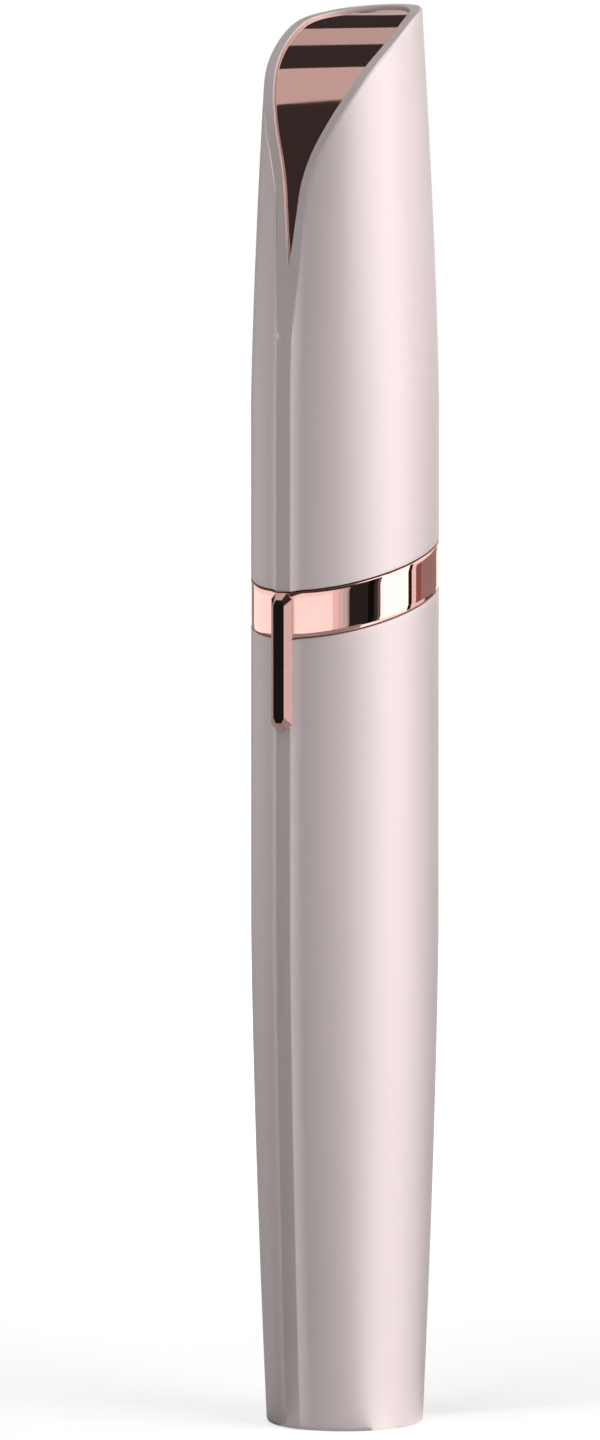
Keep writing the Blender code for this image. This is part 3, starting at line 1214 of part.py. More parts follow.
def make_light_lead(joint):
    """The lead from the control board, up past the motor, to the light board."""
    start = BOARD_BACK + LEAD_RADIUS
    exit_height = BOARD_TOP_HEIGHT - 3 * LEAD_RADIUS
    side = MOTOR_RADIUS + CARRIER_WALL
    board_reach = HOUSING_SHELF_RADIUS + LEAD_RADIUS + 1.5 * RUN_GAP
    under_motor = MOTOR_BASE_HEIGHT - END_CAP_THICKNESS - 5 * LEAD_RADIUS
    base_top = HOUSING_BASE_HEIGHT + HOUSING_BASE_THICKNESS
    route = [
        (0, start, exit_height),
        (0, start + 4 * LEAD_RADIUS, exit_height),
        (0, MOTOR_RADIUS - 2 * LEAD_RADIUS, under_motor),
        (0, side - LEAD_RADIUS / 2, under_motor + 5 * LEAD_RADIUS),
        (0, side, FRAME_TOP_HEIGHT),
        (0, side, HOUSING_BASE_HEIGHT - 4 * LEAD_RADIUS),
        (0, side - 2 * LEAD_RADIUS, base_top),
        (0, board_reach + LEAD_RADIUS, LED_BOARD_HEIGHT - 10 * LEAD_RADIUS),
        (0, board_reach, LED_BOARD_HEIGHT - 4 * LEAD_RADIUS),
        (0, board_reach, LED_BOARD_HEIGHT - SEAT_GAP),
    ]
    part(wire("light_lead", smooth_route(route), LEAD_RADIUS), "lead_red", joint)


def make_switch(joint):
    """The bar on the keel with the stem behind it, and the knob of the slide switch."""
    middle = (BAR_TOP_HEIGHT + BAR_BOTTOM_HEIGHT) / 2
    half_length = (BAR_TOP_HEIGHT - BAR_BOTTOM_HEIGHT) / 2
    half_width = BAR_BASE_WIDTH / 2
    corner_length = half_length - BAR_CORNER
    tip_width = half_width - BAR_CORNER
    quarter = [(half_width, corner_length), (tip_width, half_length)]
    outline = [*quarter, *((-x, z) for x, z in reversed(quarter))]
    outline += [(-x, -z) for x, z in quarter] + [(x, -z) for x, z in reversed(quarter)]
    shape = bmesh.new()
    back = [shape.verts.new((x, BAR_BACK, middle + z)) for x, z in outline]
    face = shape.faces.new(back)
    front = bmesh.ops.extrude_face_region(shape, geom=[face])["geom"]
    face_share = BAR_FACE_WIDTH / BAR_BASE_WIDTH
    length_share = (half_length - BAR_END_BEVEL) / half_length
    for vertex in (item for item in front if isinstance(item, bmesh.types.BMVert)):
        vertex.co.x *= face_share
        vertex.co.z = middle + (vertex.co.z - middle) * length_share
        vertex.co.y = BAR_FRONT
    bmesh.ops.recalc_face_normals(shape, faces=shape.faces)
    mesh = bpy.data.meshes.new("switch_bar")
    shape.to_mesh(mesh)
    shape.free()
    bar = add_mesh("switch_bar", mesh)
    low = (-STEM_WIDTH / 2, BAR_BACK - BAR_THICKNESS / 2, STEM_BOTTOM_HEIGHT)
    high = (STEM_WIDTH / 2, -STEM_DEPTH, STEM_BOTTOM_HEIGHT + STEM_LENGTH)
    join(bar, box("switch_stem", low, high))
    part(bar, "rose_gold_mirror", joint)

    low = (-KNOB_WIDTH / 2, KNOB_FRONT, STEM_MIDDLE_HEIGHT - KNOB_LENGTH / 2)
    high = (KNOB_WIDTH / 2, KNOB_FRONT + KNOB_REACH, STEM_MIDDLE_HEIGHT + KNOB_LENGTH / 2)
    part(box("switch_knob", low, high), "white_plastic", joint)


def main():
    clear_scene()
    new_collection("eyebrow_trimmer")
    new_collection("cutters").hide_render = True
    for name in MATERIALS:
        new_material(name)
    handle = joint_empty("handle", 0)
    chassis = joint_empty("chassis", BAND_BOTTOM_HEIGHT, handle)
    cap = joint_empty("cap", BAND_TOP_HEIGHT, chassis)
    switch = joint_empty("switch", STEM_BOTTOM_HEIGHT, chassis)
    guard = joint_empty("guard", LIGHT_RING_TOP_HEIGHT, chassis)
    rotor = joint_empty("rotor", MOTOR_TOP_HEIGHT, chassis)
    make_handle(handle)
    make_frame(chassis)
    make_seal(chassis)
    make_battery(chassis)
    make_board(chassis)
    make_band(chassis)
    make_nose(chassis)
    make_motor(chassis)
    make_spindle_housing(chassis)
    make_light(chassis)
    make_light_lead(chassis)
    make_switch(switch)
    make_guard(guard)
    make_rotor(rotor)
    make_cap(cap)


main()
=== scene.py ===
"""Electric eyebrow trimmer, capped: finished surfaces, materials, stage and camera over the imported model.

Lengths are metres. The base's middle is the origin, +Z is up, and the keel with the switch bar faces -Y.
"""

import json
import math

import bpy
import bmesh
import numpy as np
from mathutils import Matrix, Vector


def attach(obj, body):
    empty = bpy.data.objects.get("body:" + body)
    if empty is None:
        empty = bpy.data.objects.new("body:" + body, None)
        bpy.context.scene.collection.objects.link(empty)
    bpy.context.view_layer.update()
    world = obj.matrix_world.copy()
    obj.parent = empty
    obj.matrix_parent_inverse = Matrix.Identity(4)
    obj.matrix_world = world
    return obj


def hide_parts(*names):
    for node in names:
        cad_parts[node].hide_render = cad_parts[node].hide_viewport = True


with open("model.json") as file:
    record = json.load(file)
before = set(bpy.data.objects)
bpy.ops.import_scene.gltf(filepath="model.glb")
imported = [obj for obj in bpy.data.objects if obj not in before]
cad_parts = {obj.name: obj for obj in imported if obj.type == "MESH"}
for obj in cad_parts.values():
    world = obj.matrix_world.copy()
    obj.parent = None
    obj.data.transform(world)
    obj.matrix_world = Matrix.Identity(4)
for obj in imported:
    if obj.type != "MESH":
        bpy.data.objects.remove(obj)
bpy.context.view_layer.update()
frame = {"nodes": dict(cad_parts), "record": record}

bl_info = {
    "name": "Eyebrow trimmer",
    "version": (1, 0, 0),
    "blender": (4, 5, 0),
    "location": "3D View > Sidebar > Trimmer",
    "description": "Dresses the packed model of an electric eyebrow trimmer",
    "category": "Object",
}

# Handle and cap
BODY_RADIUS = 0.00925
BASE_RADIUS = 0.00772
TOP_RADIUS = 0.0075
TOTAL_HEIGHT = 0.140
HANDLE_TAPER_LENGTH = 0.050
HANDLE_TAPER_POWER = 1.45
CAP_TAPER_START = 0.100
CAP_TAPER_POWER = 1.4
HANDLE_WALL = 0.00125
HANDLE_FLOOR = 0.0015
CAP_WALL = 0.00075
CAP_ROOF = 0.0005
BASE_EDGE = 0.0005
MOUTH_EDGE = 0.00009
POLE_RADIUS = 0.00001

# Keel down the front. Each ring has columns at these distances across, then at even turns round the back
KEEL_BASE_HALF = 0.0020
KEEL_FACE_HALF = 0.0009
KEEL_HEIGHT = 0.0004
KEEL_SOFTNESS = 0.00004
KEEL_FULL_RADIUS = 0.004
KEEL_COLUMNS = 0.001 * np.array(
    [0, 0.35, 0.7, 0.84, 0.87, 0.90, 0.93, 0.98, 1.08, 1.2, 1.35, 1.5, 1.65, 1.8, 2.0, 2.1]
)
BACK_TURNS = np.linspace(0, 1, 73)[1:]

# Slanted band, and the gaps between pieces
BAND_TOP = 0.08545
BAND_BOTTOM = 0.0810
BAND_RISE = 0.333
BAND_EDGE = 0.00008
SEAM_GAP = 0.00015
FIT_GAP = 0.0001

# Slanted face of the cap, its recess and the plate in it
RIM_WIDTH = 0.00125
RIM_EDGE = 0.00022
RECESS_DEPTH = 0.0005
RECESS_TIP = 0.1139
TIP_SPREAD = 0.12
TIP_SOFTNESS = 0.00025
PLATE_THICKNESS = 0.0003
PLATE_DROP = 0.00028
FACE_LOWEST = 0.1045

# The slanted face seen from the side: share of the way from the body's front to its back, then height
FACE_POINTS = (
    (-0.0232, 0.10645), (-0.0073, 0.11045), (0.0033, 0.11445), (0.0097, 0.11840),
    (0.0190, 0.12240), (0.0544, 0.12630), (0.1374, 0.13020), (0.2868, 0.13410),
    (0.5676, 0.13800), (0.8151, 0.13940), (1.0000, 0.14000),
)

# Nose, with the locating pad that the cap's groove passes over
NOSE_RADIUS = 0.0082
NOSE_TOP_RADIUS = 0.00565
NOSE_MOUTH_RADIUS = 0.0051
NOSE_TOP = 0.1205
NOSE_TAPER_START = 0.088
NOSE_TAPER_POWER = 2.1
NOSE_WALL = 0.0008
NOSE_EDGE = 0.00015
NOSE_COLUMNS = 192
PAD_SHIFT = 0.0029
PAD_RADIUS = 0.00575
PAD_TOP = 0.08915
PAD_EDGE = 0.0001
GROOVE_GAP = 0.00015
GROOVE_TOP = PAD_TOP + 0.0018

# Light ring and slotted tip: each corner's radius and height, then how far it is rounded
RING_SEAT = NOSE_TOP + SEAM_GAP
SPIGOT_FOOT = RING_SEAT - 0.0021
RING_CORNERS = (
    (0.00425, 0.1233, 0.0001),
    (0.0051, 0.1233, 0.0003),
    (0.00555, RING_SEAT, 0.0001),
    (0.00495, RING_SEAT, 0),
    (0.00495, SPIGOT_FOOT, 0.0001),
    (0.00425, SPIGOT_FOOT, 0),
)
TIP_SEAT = 0.12345
TIP_TOP = 0.1285
TIP_CORNERS = (
    (0, TIP_TOP, 0),
    (0.0023, TIP_TOP, 0.0003),
    (0.00415, TIP_SEAT, 0.00012),
    (0.00375, TIP_SEAT, 0.0001),
    (0.0019, 0.1281, 0.0002),
    (0, 0.1281, 0),
)
SLOT_COUNT = 9
SLOT_BOX = ((0.0013, -0.000175, TIP_TOP - 0.0038), (0.0052, 0.000175, 0.1295))

# Switch bar on the keel, the stem behind it and the notch that the stem runs in
BAR_FOOT = 0.0689
BAR_TOP = 0.0823
BAR_BACK = -0.0098
BAR_FRONT = -0.0103
BAR_HALF_WIDTH = 0.0013
BAR_CORNER = 0.0006
BAR_SLOPE = 0.0007
BAR_EDGE = 0.00005
STEM_BOX = ((-0.0006, BAR_BACK - 0.0002, 0.0733), (0.0006, -0.0077, 0.0753))
NOTCH_BOX = ((-0.0009, -0.012, 0.0730), (0.0009, -0.006, 0.090))

# Meshes: faces that meet at more than the angle, in degrees, keep a sharp edge
SHARP_ANGLE = 35
MERGE_DISTANCE = 1e-7
COPY_MERGE_DISTANCE = 1e-6
ROUND_STEPS = 6

# Stage
MIDDLE_HEIGHT = 0.085
FLOOR_HALF = 4.0
FLOOR_GLOW_START = 0.02
FLOOR_GLOW_END = 0.40
CARD_DISTANCE = 0.62
CARD_CLEARANCE = 0.00005
CARD_COLUMNS = 25
CARD_ROWS = 13
FLOOR_REACH = -85.2


def body_radius(height):
    """Outer radius of handle and cap by height: a power curve narrows both ends."""
    height = np.asarray(height, float)
    low = np.clip(1 - height / HANDLE_TAPER_LENGTH, 0, None) ** HANDLE_TAPER_POWER
    high = np.clip((height - CAP_TAPER_START) / (TOTAL_HEIGHT - CAP_TAPER_START), 0, None) ** CAP_TAPER_POWER
    return BODY_RADIUS - (BODY_RADIUS - BASE_RADIUS) * low - (BODY_RADIUS - TOP_RADIUS) * high


def nose_radius(height):
    """Outer radius of the nose by height: straight, then narrowing as a power curve."""
    share = np.clip((np.asarray(height, float) - NOSE_TAPER_START) / (NOSE_TOP - NOSE_TAPER_START), 0, None)
    return NOSE_RADIUS - (NOSE_RADIUS - NOSE_TOP_RADIUS) * share**NOSE_TAPER_POWER


def pad_reach(angle, gap=0.0):
    """How far the nose's locating pad reaches from the axis at an angle: a circle set forward, plus a gap."""
    reach = PAD_SHIFT * np.cos(angle) + np.sqrt((PAD_RADIUS + gap) ** 2 - (PAD_SHIFT * np.sin(angle)) ** 2)
    return np.where(np.cos(angle) > 0, reach, 0)


def smooth_route(points, steps):
    """A Catmull-Rom curve: each span is a cubic whose end slopes run along the neighbours' chord."""
    points = np.asarray(points, float)
    ends = np.vstack([points[:1], points, points[-1:]])
    share = np.arange(steps)[:, None] / steps
    start, end = ends[1:-2, None], ends[2:-1, None]
    slope_in = (end - ends[:-3, None]) * (share - 2 * share**2 + share**3) / 2
    slope_out = (ends[3:, None] - start) * (share**3 - share**2) / 2
    route = start + (end - start) * (3 * share**2 - 2 * share**3) + slope_in + slope_out
    return np.vstack([route.reshape(-1, points.shape[1]), points[-1:]])


def face_curve(inset=0.0):
    """The slanted face seen from the side, as depth and height, moved inwards along its own normals."""
    points = np.array(FACE_POINTS)
    points[:, 0] = (2 * points[:, 0] - 1) * body_radius(points[:, 1])
    curve = smooth_route(points, 10)
    slope = np.gradient(curve, axis=0)
    slope /= np.linalg.norm(slope, axis=1)[:, None]
    return curve + inset * np.stack([slope[:, 1], -slope[:, 0]], axis=1)


def keel_bump(across):
    """How far the keel stands out at a distance across: flat in the middle, with flanks that fall as a
    square and meet the body without an edge."""
    share = np.clip((KEEL_BASE_HALF - np.abs(across)) / (KEEL_BASE_HALF - KEEL_FACE_HALF), 0, 1)
    return KEEL_HEIGHT * share**2


def smooth_step(value):
    """A rise from 0 to 1 that starts and ends level."""
    value = np.clip(value, 0, 1)
    return value * value * (3 - 2 * value)


def round_edge(radius, steps):
    """A quarter circle in even turns: how far each point lies inside the first side, then the second."""
    turns = np.linspace(0, math.pi / 2, steps)
    return [(radius * (1 - math.cos(turn)), radius * (1 - math.sin(turn))) for turn in turns]


def ring_row(radius, height, keel_share=1.0):
    """One closed ring round the body, from the front by +X to the back and home by -X: a circle with the
    keel's bump added towards the front. Radius and height may change from column to column."""
    count = len(KEEL_COLUMNS)
    half = count + len(BACK_TURNS)
    radius = np.broadcast_to(np.asarray(radius, float), (2 * half - 2,))[:half]
    keel = np.minimum(1, radius / KEEL_FULL_RADIUS)
    front = np.arcsin(KEEL_COLUMNS * keel[:count] / radius[:count])
    edge = np.arcsin(KEEL_COLUMNS[-1] * keel[count:] / radius[count:])
    angle = np.concatenate([front, edge + (math.pi - edge) * BACK_TURNS])
    across = radius * np.sin(angle)
    across[-1] = 0
    soft = np.linspace(-KEEL_SOFTNESS, KEEL_SOFTNESS, 5)[:, None]
    bump = np.where(np.cos(angle) > 0, keel_bump(across + soft).mean(axis=0), 0)
    depth = -radius * np.cos(angle) - bump * keel_share
    across = np.concatenate([across, -across[-2:0:-1]])
    depth = np.concatenate([depth, depth[-2:0:-1]])
    return np.stack([across, depth, np.broadcast_to(height, across.shape)], axis=1)


def slanted(level, depth):
    """Height at a depth of the plane, parallel to the band, that crosses the axis at a level."""
    return level + BAND_RISE * depth


def slanted_ring(radius, level, keel_share=1.0):
    """A ring round the body that lies in such a plane."""
    ring = ring_row(radius, 0.0, keel_share)
    ring[:, 2] = slanted(level, ring[:, 1])
    return ring


def round_row(radius, height, columns):
    """A circle of points whose radius and height may change from column to column."""
    angle = np.linspace(0, 2 * math.pi, columns, endpoint=False)
    height = np.broadcast_to(height, angle.shape)
    return np.stack([radius * np.sin(angle), -radius * np.cos(angle), height], axis=1)


def fillet(corner, before, after, radius):
    """A round corner of a profile: a parabola that touches the two sides next to the corner."""
    start = (before - corner) / np.linalg.norm(before - corner)
    end = (after - corner) / np.linalg.norm(after - corner)
    share = np.linspace(0, 1, ROUND_STEPS)[:, None]
    low, high = corner + start * radius, corner + end * radius
    return (1 - share) ** 2 * low + 2 * share * (1 - share) * corner + share**2 * high


def rounded_profile(corners):
    """A closed profile of radius and height, with each corner rounded as far as its third number says."""
    table = np.asarray(corners, float)
    points, parts = table[:, :2], []
    for index, radius in enumerate(table[:, 2]):
        corner, after = points[index], points[(index + 1) % len(points)]
        parts.append(fillet(corner, points[index - 1], after, radius) if radius else corner[None])
    return np.vstack(parts)


def grid_faces(rows, columns, closed_rows, closed_columns=True):
    """Quads between neighbouring rows and columns, each of which may close into a ring."""
    row = np.arange(rows if closed_rows else rows - 1)[:, None]
    column = np.arange(columns if closed_columns else columns - 1)
    here, above = row * columns, (row + 1) % rows * columns
    after = (column + 1) % columns
    corners = np.broadcast_arrays(here + column, here + after, above + after, above + column)
    return np.stack(corners, axis=-1).reshape(-1, 4).tolist()


def plain_mesh(name, points, faces):
    """A mesh from its points, in an array of any shape, and its faces."""
    mesh = bpy.data.meshes.new(name)
    mesh.from_pydata(points.reshape(-1, 3), [], faces)
    return mesh


def placed(name, data):
    """A new object in the scene for a mesh, a light or a camera."""
    thing = bpy.data.objects.new(name, data)
    bpy.context.scene.collection.objects.link(thing)
    return thing


def shade_round(mesh, angle=SHARP_ANGLE):
    """Smooth shading, with sharp edges where faces meet at more than the angle."""
    mesh.shade_smooth()
    mesh.set_sharp_from_angle(angle=math.radians(angle))


def new_piece(name, points, faces, angle=SHARP_ANGLE):
    """A mesh object from its points and faces. Points that meet are joined, and faces are turned outwards."""
    mesh = plain_mesh(name, points, faces)
    work = bmesh.new()
    work.from_mesh(mesh)
    bmesh.ops.remove_doubles(work, verts=work.verts, dist=MERGE_DISTANCE)
    bmesh.ops.dissolve_degenerate(work, edges=work.edges, dist=MERGE_DISTANCE)
    bmesh.ops.recalc_face_normals(work, faces=work.faces)
    work.to_mesh(mesh)
    work.free()
    shade_round(mesh, angle)
    return placed(name, mesh)


def stacked(name, rows, closed=True, angle=SHARP_ANGLE):
    """A surface through a stack of rings. A closed stack joins its last ring to its first."""
    rows = np.stack(rows)
    return new_piece(name, rows, grid_faces(*rows.shape[:2], closed), angle)


def closed_ends(name, rows, angle=SHARP_ANGLE):
    """A surface through a stack of rings whose first and last rings are each closed by a pole."""
    rows = np.stack(rows)
    count, columns = rows.shape[:2]
    points = np.vstack([rows.reshape(-1, 3), rows[0].mean(axis=0), rows[-1].mean(axis=0)])
    here = np.arange(columns)
    after = (here + 1) % columns
    pole, last = np.full(columns, count * columns), (count - 1) * columns
    faces = grid_faces(count, columns, False)
    faces += np.stack([pole, after, here], axis=1).tolist()
    faces += np.stack([pole + 1, last + here, last + after], axis=1).tolist()
    return new_piece(name, points, faces, angle)


def revolved(name, corners, columns, closed, angle):
    """A rounded profile turned about the axis. Its points on the axis become poles."""
    rows = [round_row(max(radius, 0.0), height, columns) for radius, height in rounded_profile(corners)]
    return stacked(name, rows, closed, angle)


def block(name, low, high, turn=0.0):
    """A plain box turned about the axis, which cuts another piece or joins it."""
    low, high = np.array(low)[:, None], np.array(high)[:, None]
    across, depth, height = low + (high - low) * np.indices((2, 2, 2)).reshape(3, 8)
    ahead, aside = math.cos(turn), math.sin(turn)
    points = np.stack([across * ahead - depth * aside, across * aside + depth * ahead, height], axis=1)
    faces = [(0, 1, 3, 2), (4, 6, 7, 5), (0, 4, 5, 1), (2, 3, 7, 6), (0, 2, 6, 4), (1, 5, 7, 3)]
    return new_piece(name, points, faces)


def combine(piece, other, operation, bevel=0.0):
    """Joins another piece to this one or cuts it out, bevels the edges if asked, and removes the other."""
    step = piece.modifiers.new(other.name, "BOOLEAN")
    step.operation = operation
    step.solver = "EXACT"
    step.object = other
    if bevel:
        soft = piece.modifiers.new("soft_edges", "BEVEL")
        soft.width = bevel
        soft.segments = 3
        soft.limit_method = "ANGLE"
        soft.angle_limit = math.radians(25)
    bpy.context.view_layer.update()
    graph = bpy.context.evaluated_depsgraph_get()
    mesh = bpy.data.meshes.new_from_object(piece.evaluated_get(graph))
    piece.modifiers.clear()
    old, piece.data = piece.data, mesh
    mesh.name = piece.name
    bpy.data.meshes.remove(old)
    bpy.data.objects.remove(other)


def make_handle_sleeve():
    """The handle shell: rings that follow the body's radius and the keel, cut by the band's slant at the top,
    with a rounded base edge, a thin rounded mouth, and an inner wall down to the floor."""
    level = BAND_BOTTOM - SEAM_GAP
    mouth = slanted_ring(BODY_RADIUS, level)[:, 2]
    rows = [ring_row(radius, 0.0, 0) for radius in (POLE_RADIUS, BASE_RADIUS * 0.5, BASE_RADIUS - 0.0006)]
    for height, inset in round_edge(BASE_EDGE, 7):
        rows.append(ring_row(body_radius(BASE_EDGE) - inset, height, smooth_step(height / BASE_EDGE)))
    for share in np.linspace(0, 1, 90)[1:]:
        height = BASE_EDGE + (mouth - MOUTH_EDGE - BASE_EDGE) * share
        rows.append(ring_row(body_radius(height), height))
    for inset, drop in round_edge(MOUTH_EDGE, 5)[1:]:
        ring = slanted_ring(BODY_RADIUS - inset, level)
        ring[:, 2] -= drop
        rows.append(ring)
    bore = slanted_ring(BODY_RADIUS - HANDLE_WALL, level, 0)
    rows.append(bore)
    for share in np.linspace(1, 0, 40)[1:]:
        height = HANDLE_FLOOR + (bore[:, 2] - HANDLE_FLOOR) * share
        rows.append(ring_row(body_radius(height) - HANDLE_WALL, height, 0))
    rows += [ring_row(radius, HANDLE_FLOOR, 0) for radius in (0.003, POLE_RADIUS)]
    sleeve = closed_ends("handle_sleeve", rows)
    combine(sleeve, block("stem_notch", *NOTCH_BOX), "DIFFERENCE")
    shade_round(sleeve.data)
    return sleeve


def make_band_trim():
    """The slanted band: a ring between two slanted planes with the keel carried across it, its outer edges
    rounded, and a straight inner wall."""
    edge = round_edge(BAND_EDGE, 6)
    profile = [(inset, 0, lift) for lift, inset in edge]
    profile += [(0, share, 0) for share in np.linspace(0, 1, 8)[1:-1]]
    profile += [(inset, 1, -lift) for lift, inset in reversed(edge)]
    rows = []
    for inset, share, lift in profile:
        ring = slanted_ring(BODY_RADIUS - inset, BAND_BOTTOM, 1 - inset / KEEL_HEIGHT)
        ring[:, 2] += (BAND_TOP - BAND_BOTTOM) * share + lift
        rows.append(ring)
    rows += [slanted_ring(NOSE_RADIUS + SEAM_GAP, level, 0) for level in (BAND_TOP, BAND_BOTTOM)]
    return stacked("band_trim", rows)


def wall_meets_face(inset, face, keel_share):
    """Heights where the round wall, column by column, meets the slanted face seen from the side: the first
    height at which the face stands behind the wall's depth."""
    heights = np.linspace(FACE_LOWEST, TOTAL_HEIGHT, 900)
    face_depth = np.interp(heights, face[:, 1], face[:, 0], left=-1.0)
    walls = [ring_row(body_radius(height) - inset, height, keel_share)[:, 1] for height in heights]
    behind = face_depth[:, None] - np.stack(walls)
    crossing = np.argmax(behind >= 0, axis=0)
    crossing[behind.max(axis=0) < 0] = len(heights) - 1
    crossing = np.clip(crossing, 1, None)
    columns = np.arange(behind.shape[1])
    low, high = behind[crossing - 1, columns], behind[crossing, columns]
    share = np.clip(-low / np.where(high == low, 1, high - low), 0, 1)
    return heights[crossing - 1] + (heights[crossing] - heights[crossing - 1]) * share


def recess_edge(face, outer, rim):
    """The recess's outline in the face: each outer point moves towards the middle line until it stands the
    rim's width inside, or in the slim wedge that spreads upwards from the recess's tip."""
    tip_depth = np.interp(RECESS_TIP, face[:, 1], face[:, 0])
    angle = np.arctan2(outer[:, 0], -outer[:, 1])
    angle[0] = 0
    reach = np.linspace(0, 1, 1400)[:, None] * np.hypot(outer[:, 0], outer[:, 1])
    across, depth = reach * np.sin(angle), -reach * np.cos(angle)
    height = np.interp(depth, face[:, 0], face[:, 1])
    open_half = np.sqrt(np.clip(body_radius(height) ** 2 - depth**2, 0, None)) - rim
    wedge = (height - RECESS_TIP) * TIP_SPREAD
    half = (open_half + wedge + np.hypot(open_half - wedge, TIP_SOFTNESS)) / 2
    inside = (np.abs(across) <= half) & (depth >= tip_depth)
    inside &= (depth < 0) | (np.hypot(across, depth) <= body_radius(height) - rim)
    last = len(inside) - 1 - np.argmax(inside[::-1], axis=0)
    columns = np.arange(len(outer))
    return np.stack([across[last, columns], depth[last, columns], height[last, columns]], axis=1)


def across_rim(outer, inner, share, face):
    """Points of the face part of the way from its outer outline to the recess's."""
    points = outer + (inner - outer) * share
    points[:, 2] = np.interp(points[:, 1], face[:, 0], face[:, 1])
    return points


def sunk(points, face, deeper):
    """Points of the face moved inwards along its normal, which keeps their distance across."""
    steps = np.arange(len(face))
    place = np.interp(points[:, 1], face[:, 0], steps)
    lower = face_curve(deeper)
    depth, height = np.interp(place, steps, lower[:, 0]), np.interp(place, steps, lower[:, 1])
    return np.stack([points[:, 0], depth, height], axis=1)


def narrowed(row, share):
    """A row drawn in towards the middle line."""
    return row * (share, 1, 1)


def make_cap_sleeve():
    """The cap shell, from the inside out: a roof parallel to the face, an inner wall with the groove for the
    nose's pad, an outer wall up to the slanted face, a soft-edged rim, and the recess's walls and floor."""
    face = face_curve()
    top = wall_meets_face(0, face, 1)
    level = BAND_TOP + SEAM_GAP
    recess_floor = RECESS_DEPTH + PLATE_THICKNESS + FIT_GAP
    roof = wall_meets_face(CAP_WALL, face_curve(recess_floor + CAP_ROOF), 0)
    roof_edge = ring_row(body_radius(roof) - CAP_WALL, roof, 0)
    rows = [narrowed(roof_edge, share) for share in (0.0, 0.25, 0.5, 0.75)]
    foot = slanted_ring(BODY_RADIUS - CAP_WALL, level, 0)
    groove = pad_reach(np.arctan2(foot[:, 0], -foot[:, 1]), GROOVE_GAP)
    for share in np.linspace(1, 0, 30):
        height = foot[:, 2] + (roof - foot[:, 2]) * share
        room = np.where(height < GROOVE_TOP, groove, 0)
        rows.append(ring_row(np.maximum(body_radius(height) - CAP_WALL, room), height, 0))
    for rise, inset in round_edge(MOUTH_EDGE, 5)[:-1]:
        ring = slanted_ring(BODY_RADIUS - inset, level)
        ring[:, 2] += rise
        rows.append(ring)
    mouth = slanted_ring(BODY_RADIUS, level)[:, 2]
    for share in np.linspace(0, 1, 70):
        height = mouth + MOUTH_EDGE + (top - RIM_EDGE - mouth - MOUTH_EDGE) * share
        rows.append(ring_row(body_radius(height), height))
    outer = ring_row(body_radius(top), top)
    inner = recess_edge(face, outer, RIM_WIDTH)
    rim = [(inset / RIM_WIDTH, drop) for inset, drop in round_edge(RIM_EDGE, 5)[1:]]
    rim += [(share, 0) for share in np.linspace(0.25, 0.9, 5)]
    rim += [(0.96, 0), (0.99, 0.00002), (1.0, 0.00006), (1.0, 0.0004), (1.0, recess_floor)]
    rows += [sunk(across_rim(outer, inner, share, face), face, drop) for share, drop in rim]
    rows += [narrowed(sunk(inner, face, recess_floor), share) for share in (0.66, 0.33, 0.0)]
    return stacked("cap_sleeve", rows, closed=False, angle=32)


def make_cap_plate():
    """The mirror plate: the recess's outline less a fit gap, with a smoothed curved top, softened edges and a
    flat underside, all made of lines that run straight across."""
    face = face_curve()
    top = wall_meets_face(0, face, 1)
    outline = recess_edge(face, ring_row(body_radius(top), top), RIM_WIDTH + FIT_GAP / 2)
    under = RECESS_DEPTH + PLATE_THICKNESS
    profile = [(under, 0.0), (under, 0.5), (under, 1.0)]
    profile += [(PLATE_DROP + 0.00003, 1.0), (PLATE_DROP + 0.00001, 0.998)]
    profile += [(PLATE_DROP, share) for share in (0.995, 0.66, 0.33, 0.0)]
    rows = [narrowed(sunk(outline, face, drop), share) for drop, share in profile]
    return stacked("cap_mirror", rows, closed=False, angle=12)


def make_switch_slider():
    """The bar on the keel: an eight-sided outline lofted from its back to a narrower, shorter front face,
    with the stem behind it, and every edge finished by a small bevel."""
    middle, half = (BAR_FOOT + BAR_TOP) / 2, (BAR_TOP - BAR_FOOT) / 2
    corner = np.array([(BAR_HALF_WIDTH, half - BAR_CORNER), (BAR_HALF_WIDTH - BAR_CORNER, half)])
    outline = np.vstack([corner, corner[::-1] * (-1, 1), -corner, corner[::-1] * (1, -1)])
    rows = []
    for depth, wide, long in (
        (BAR_BACK, 0.30, 0.97),
        (BAR_BACK, 1.0, 1.0),
        (BAR_BACK - 0.00004, 1.0, 1.0),
        (BAR_FRONT, 0.54, (half - BAR_SLOPE) / half),
        (BAR_FRONT, 0.30, 0.90),
    ):
        across, along = (outline * (wide, long)).T
        rows.append(np.stack([across, np.full(8, depth), middle + along], axis=1))
    bar = closed_ends("switch_slider", rows, 30)
    combine(bar, block("stem", *STEM_BOX), "UNION", BAR_EDGE)
    bar.data.shade_flat()
    return bar


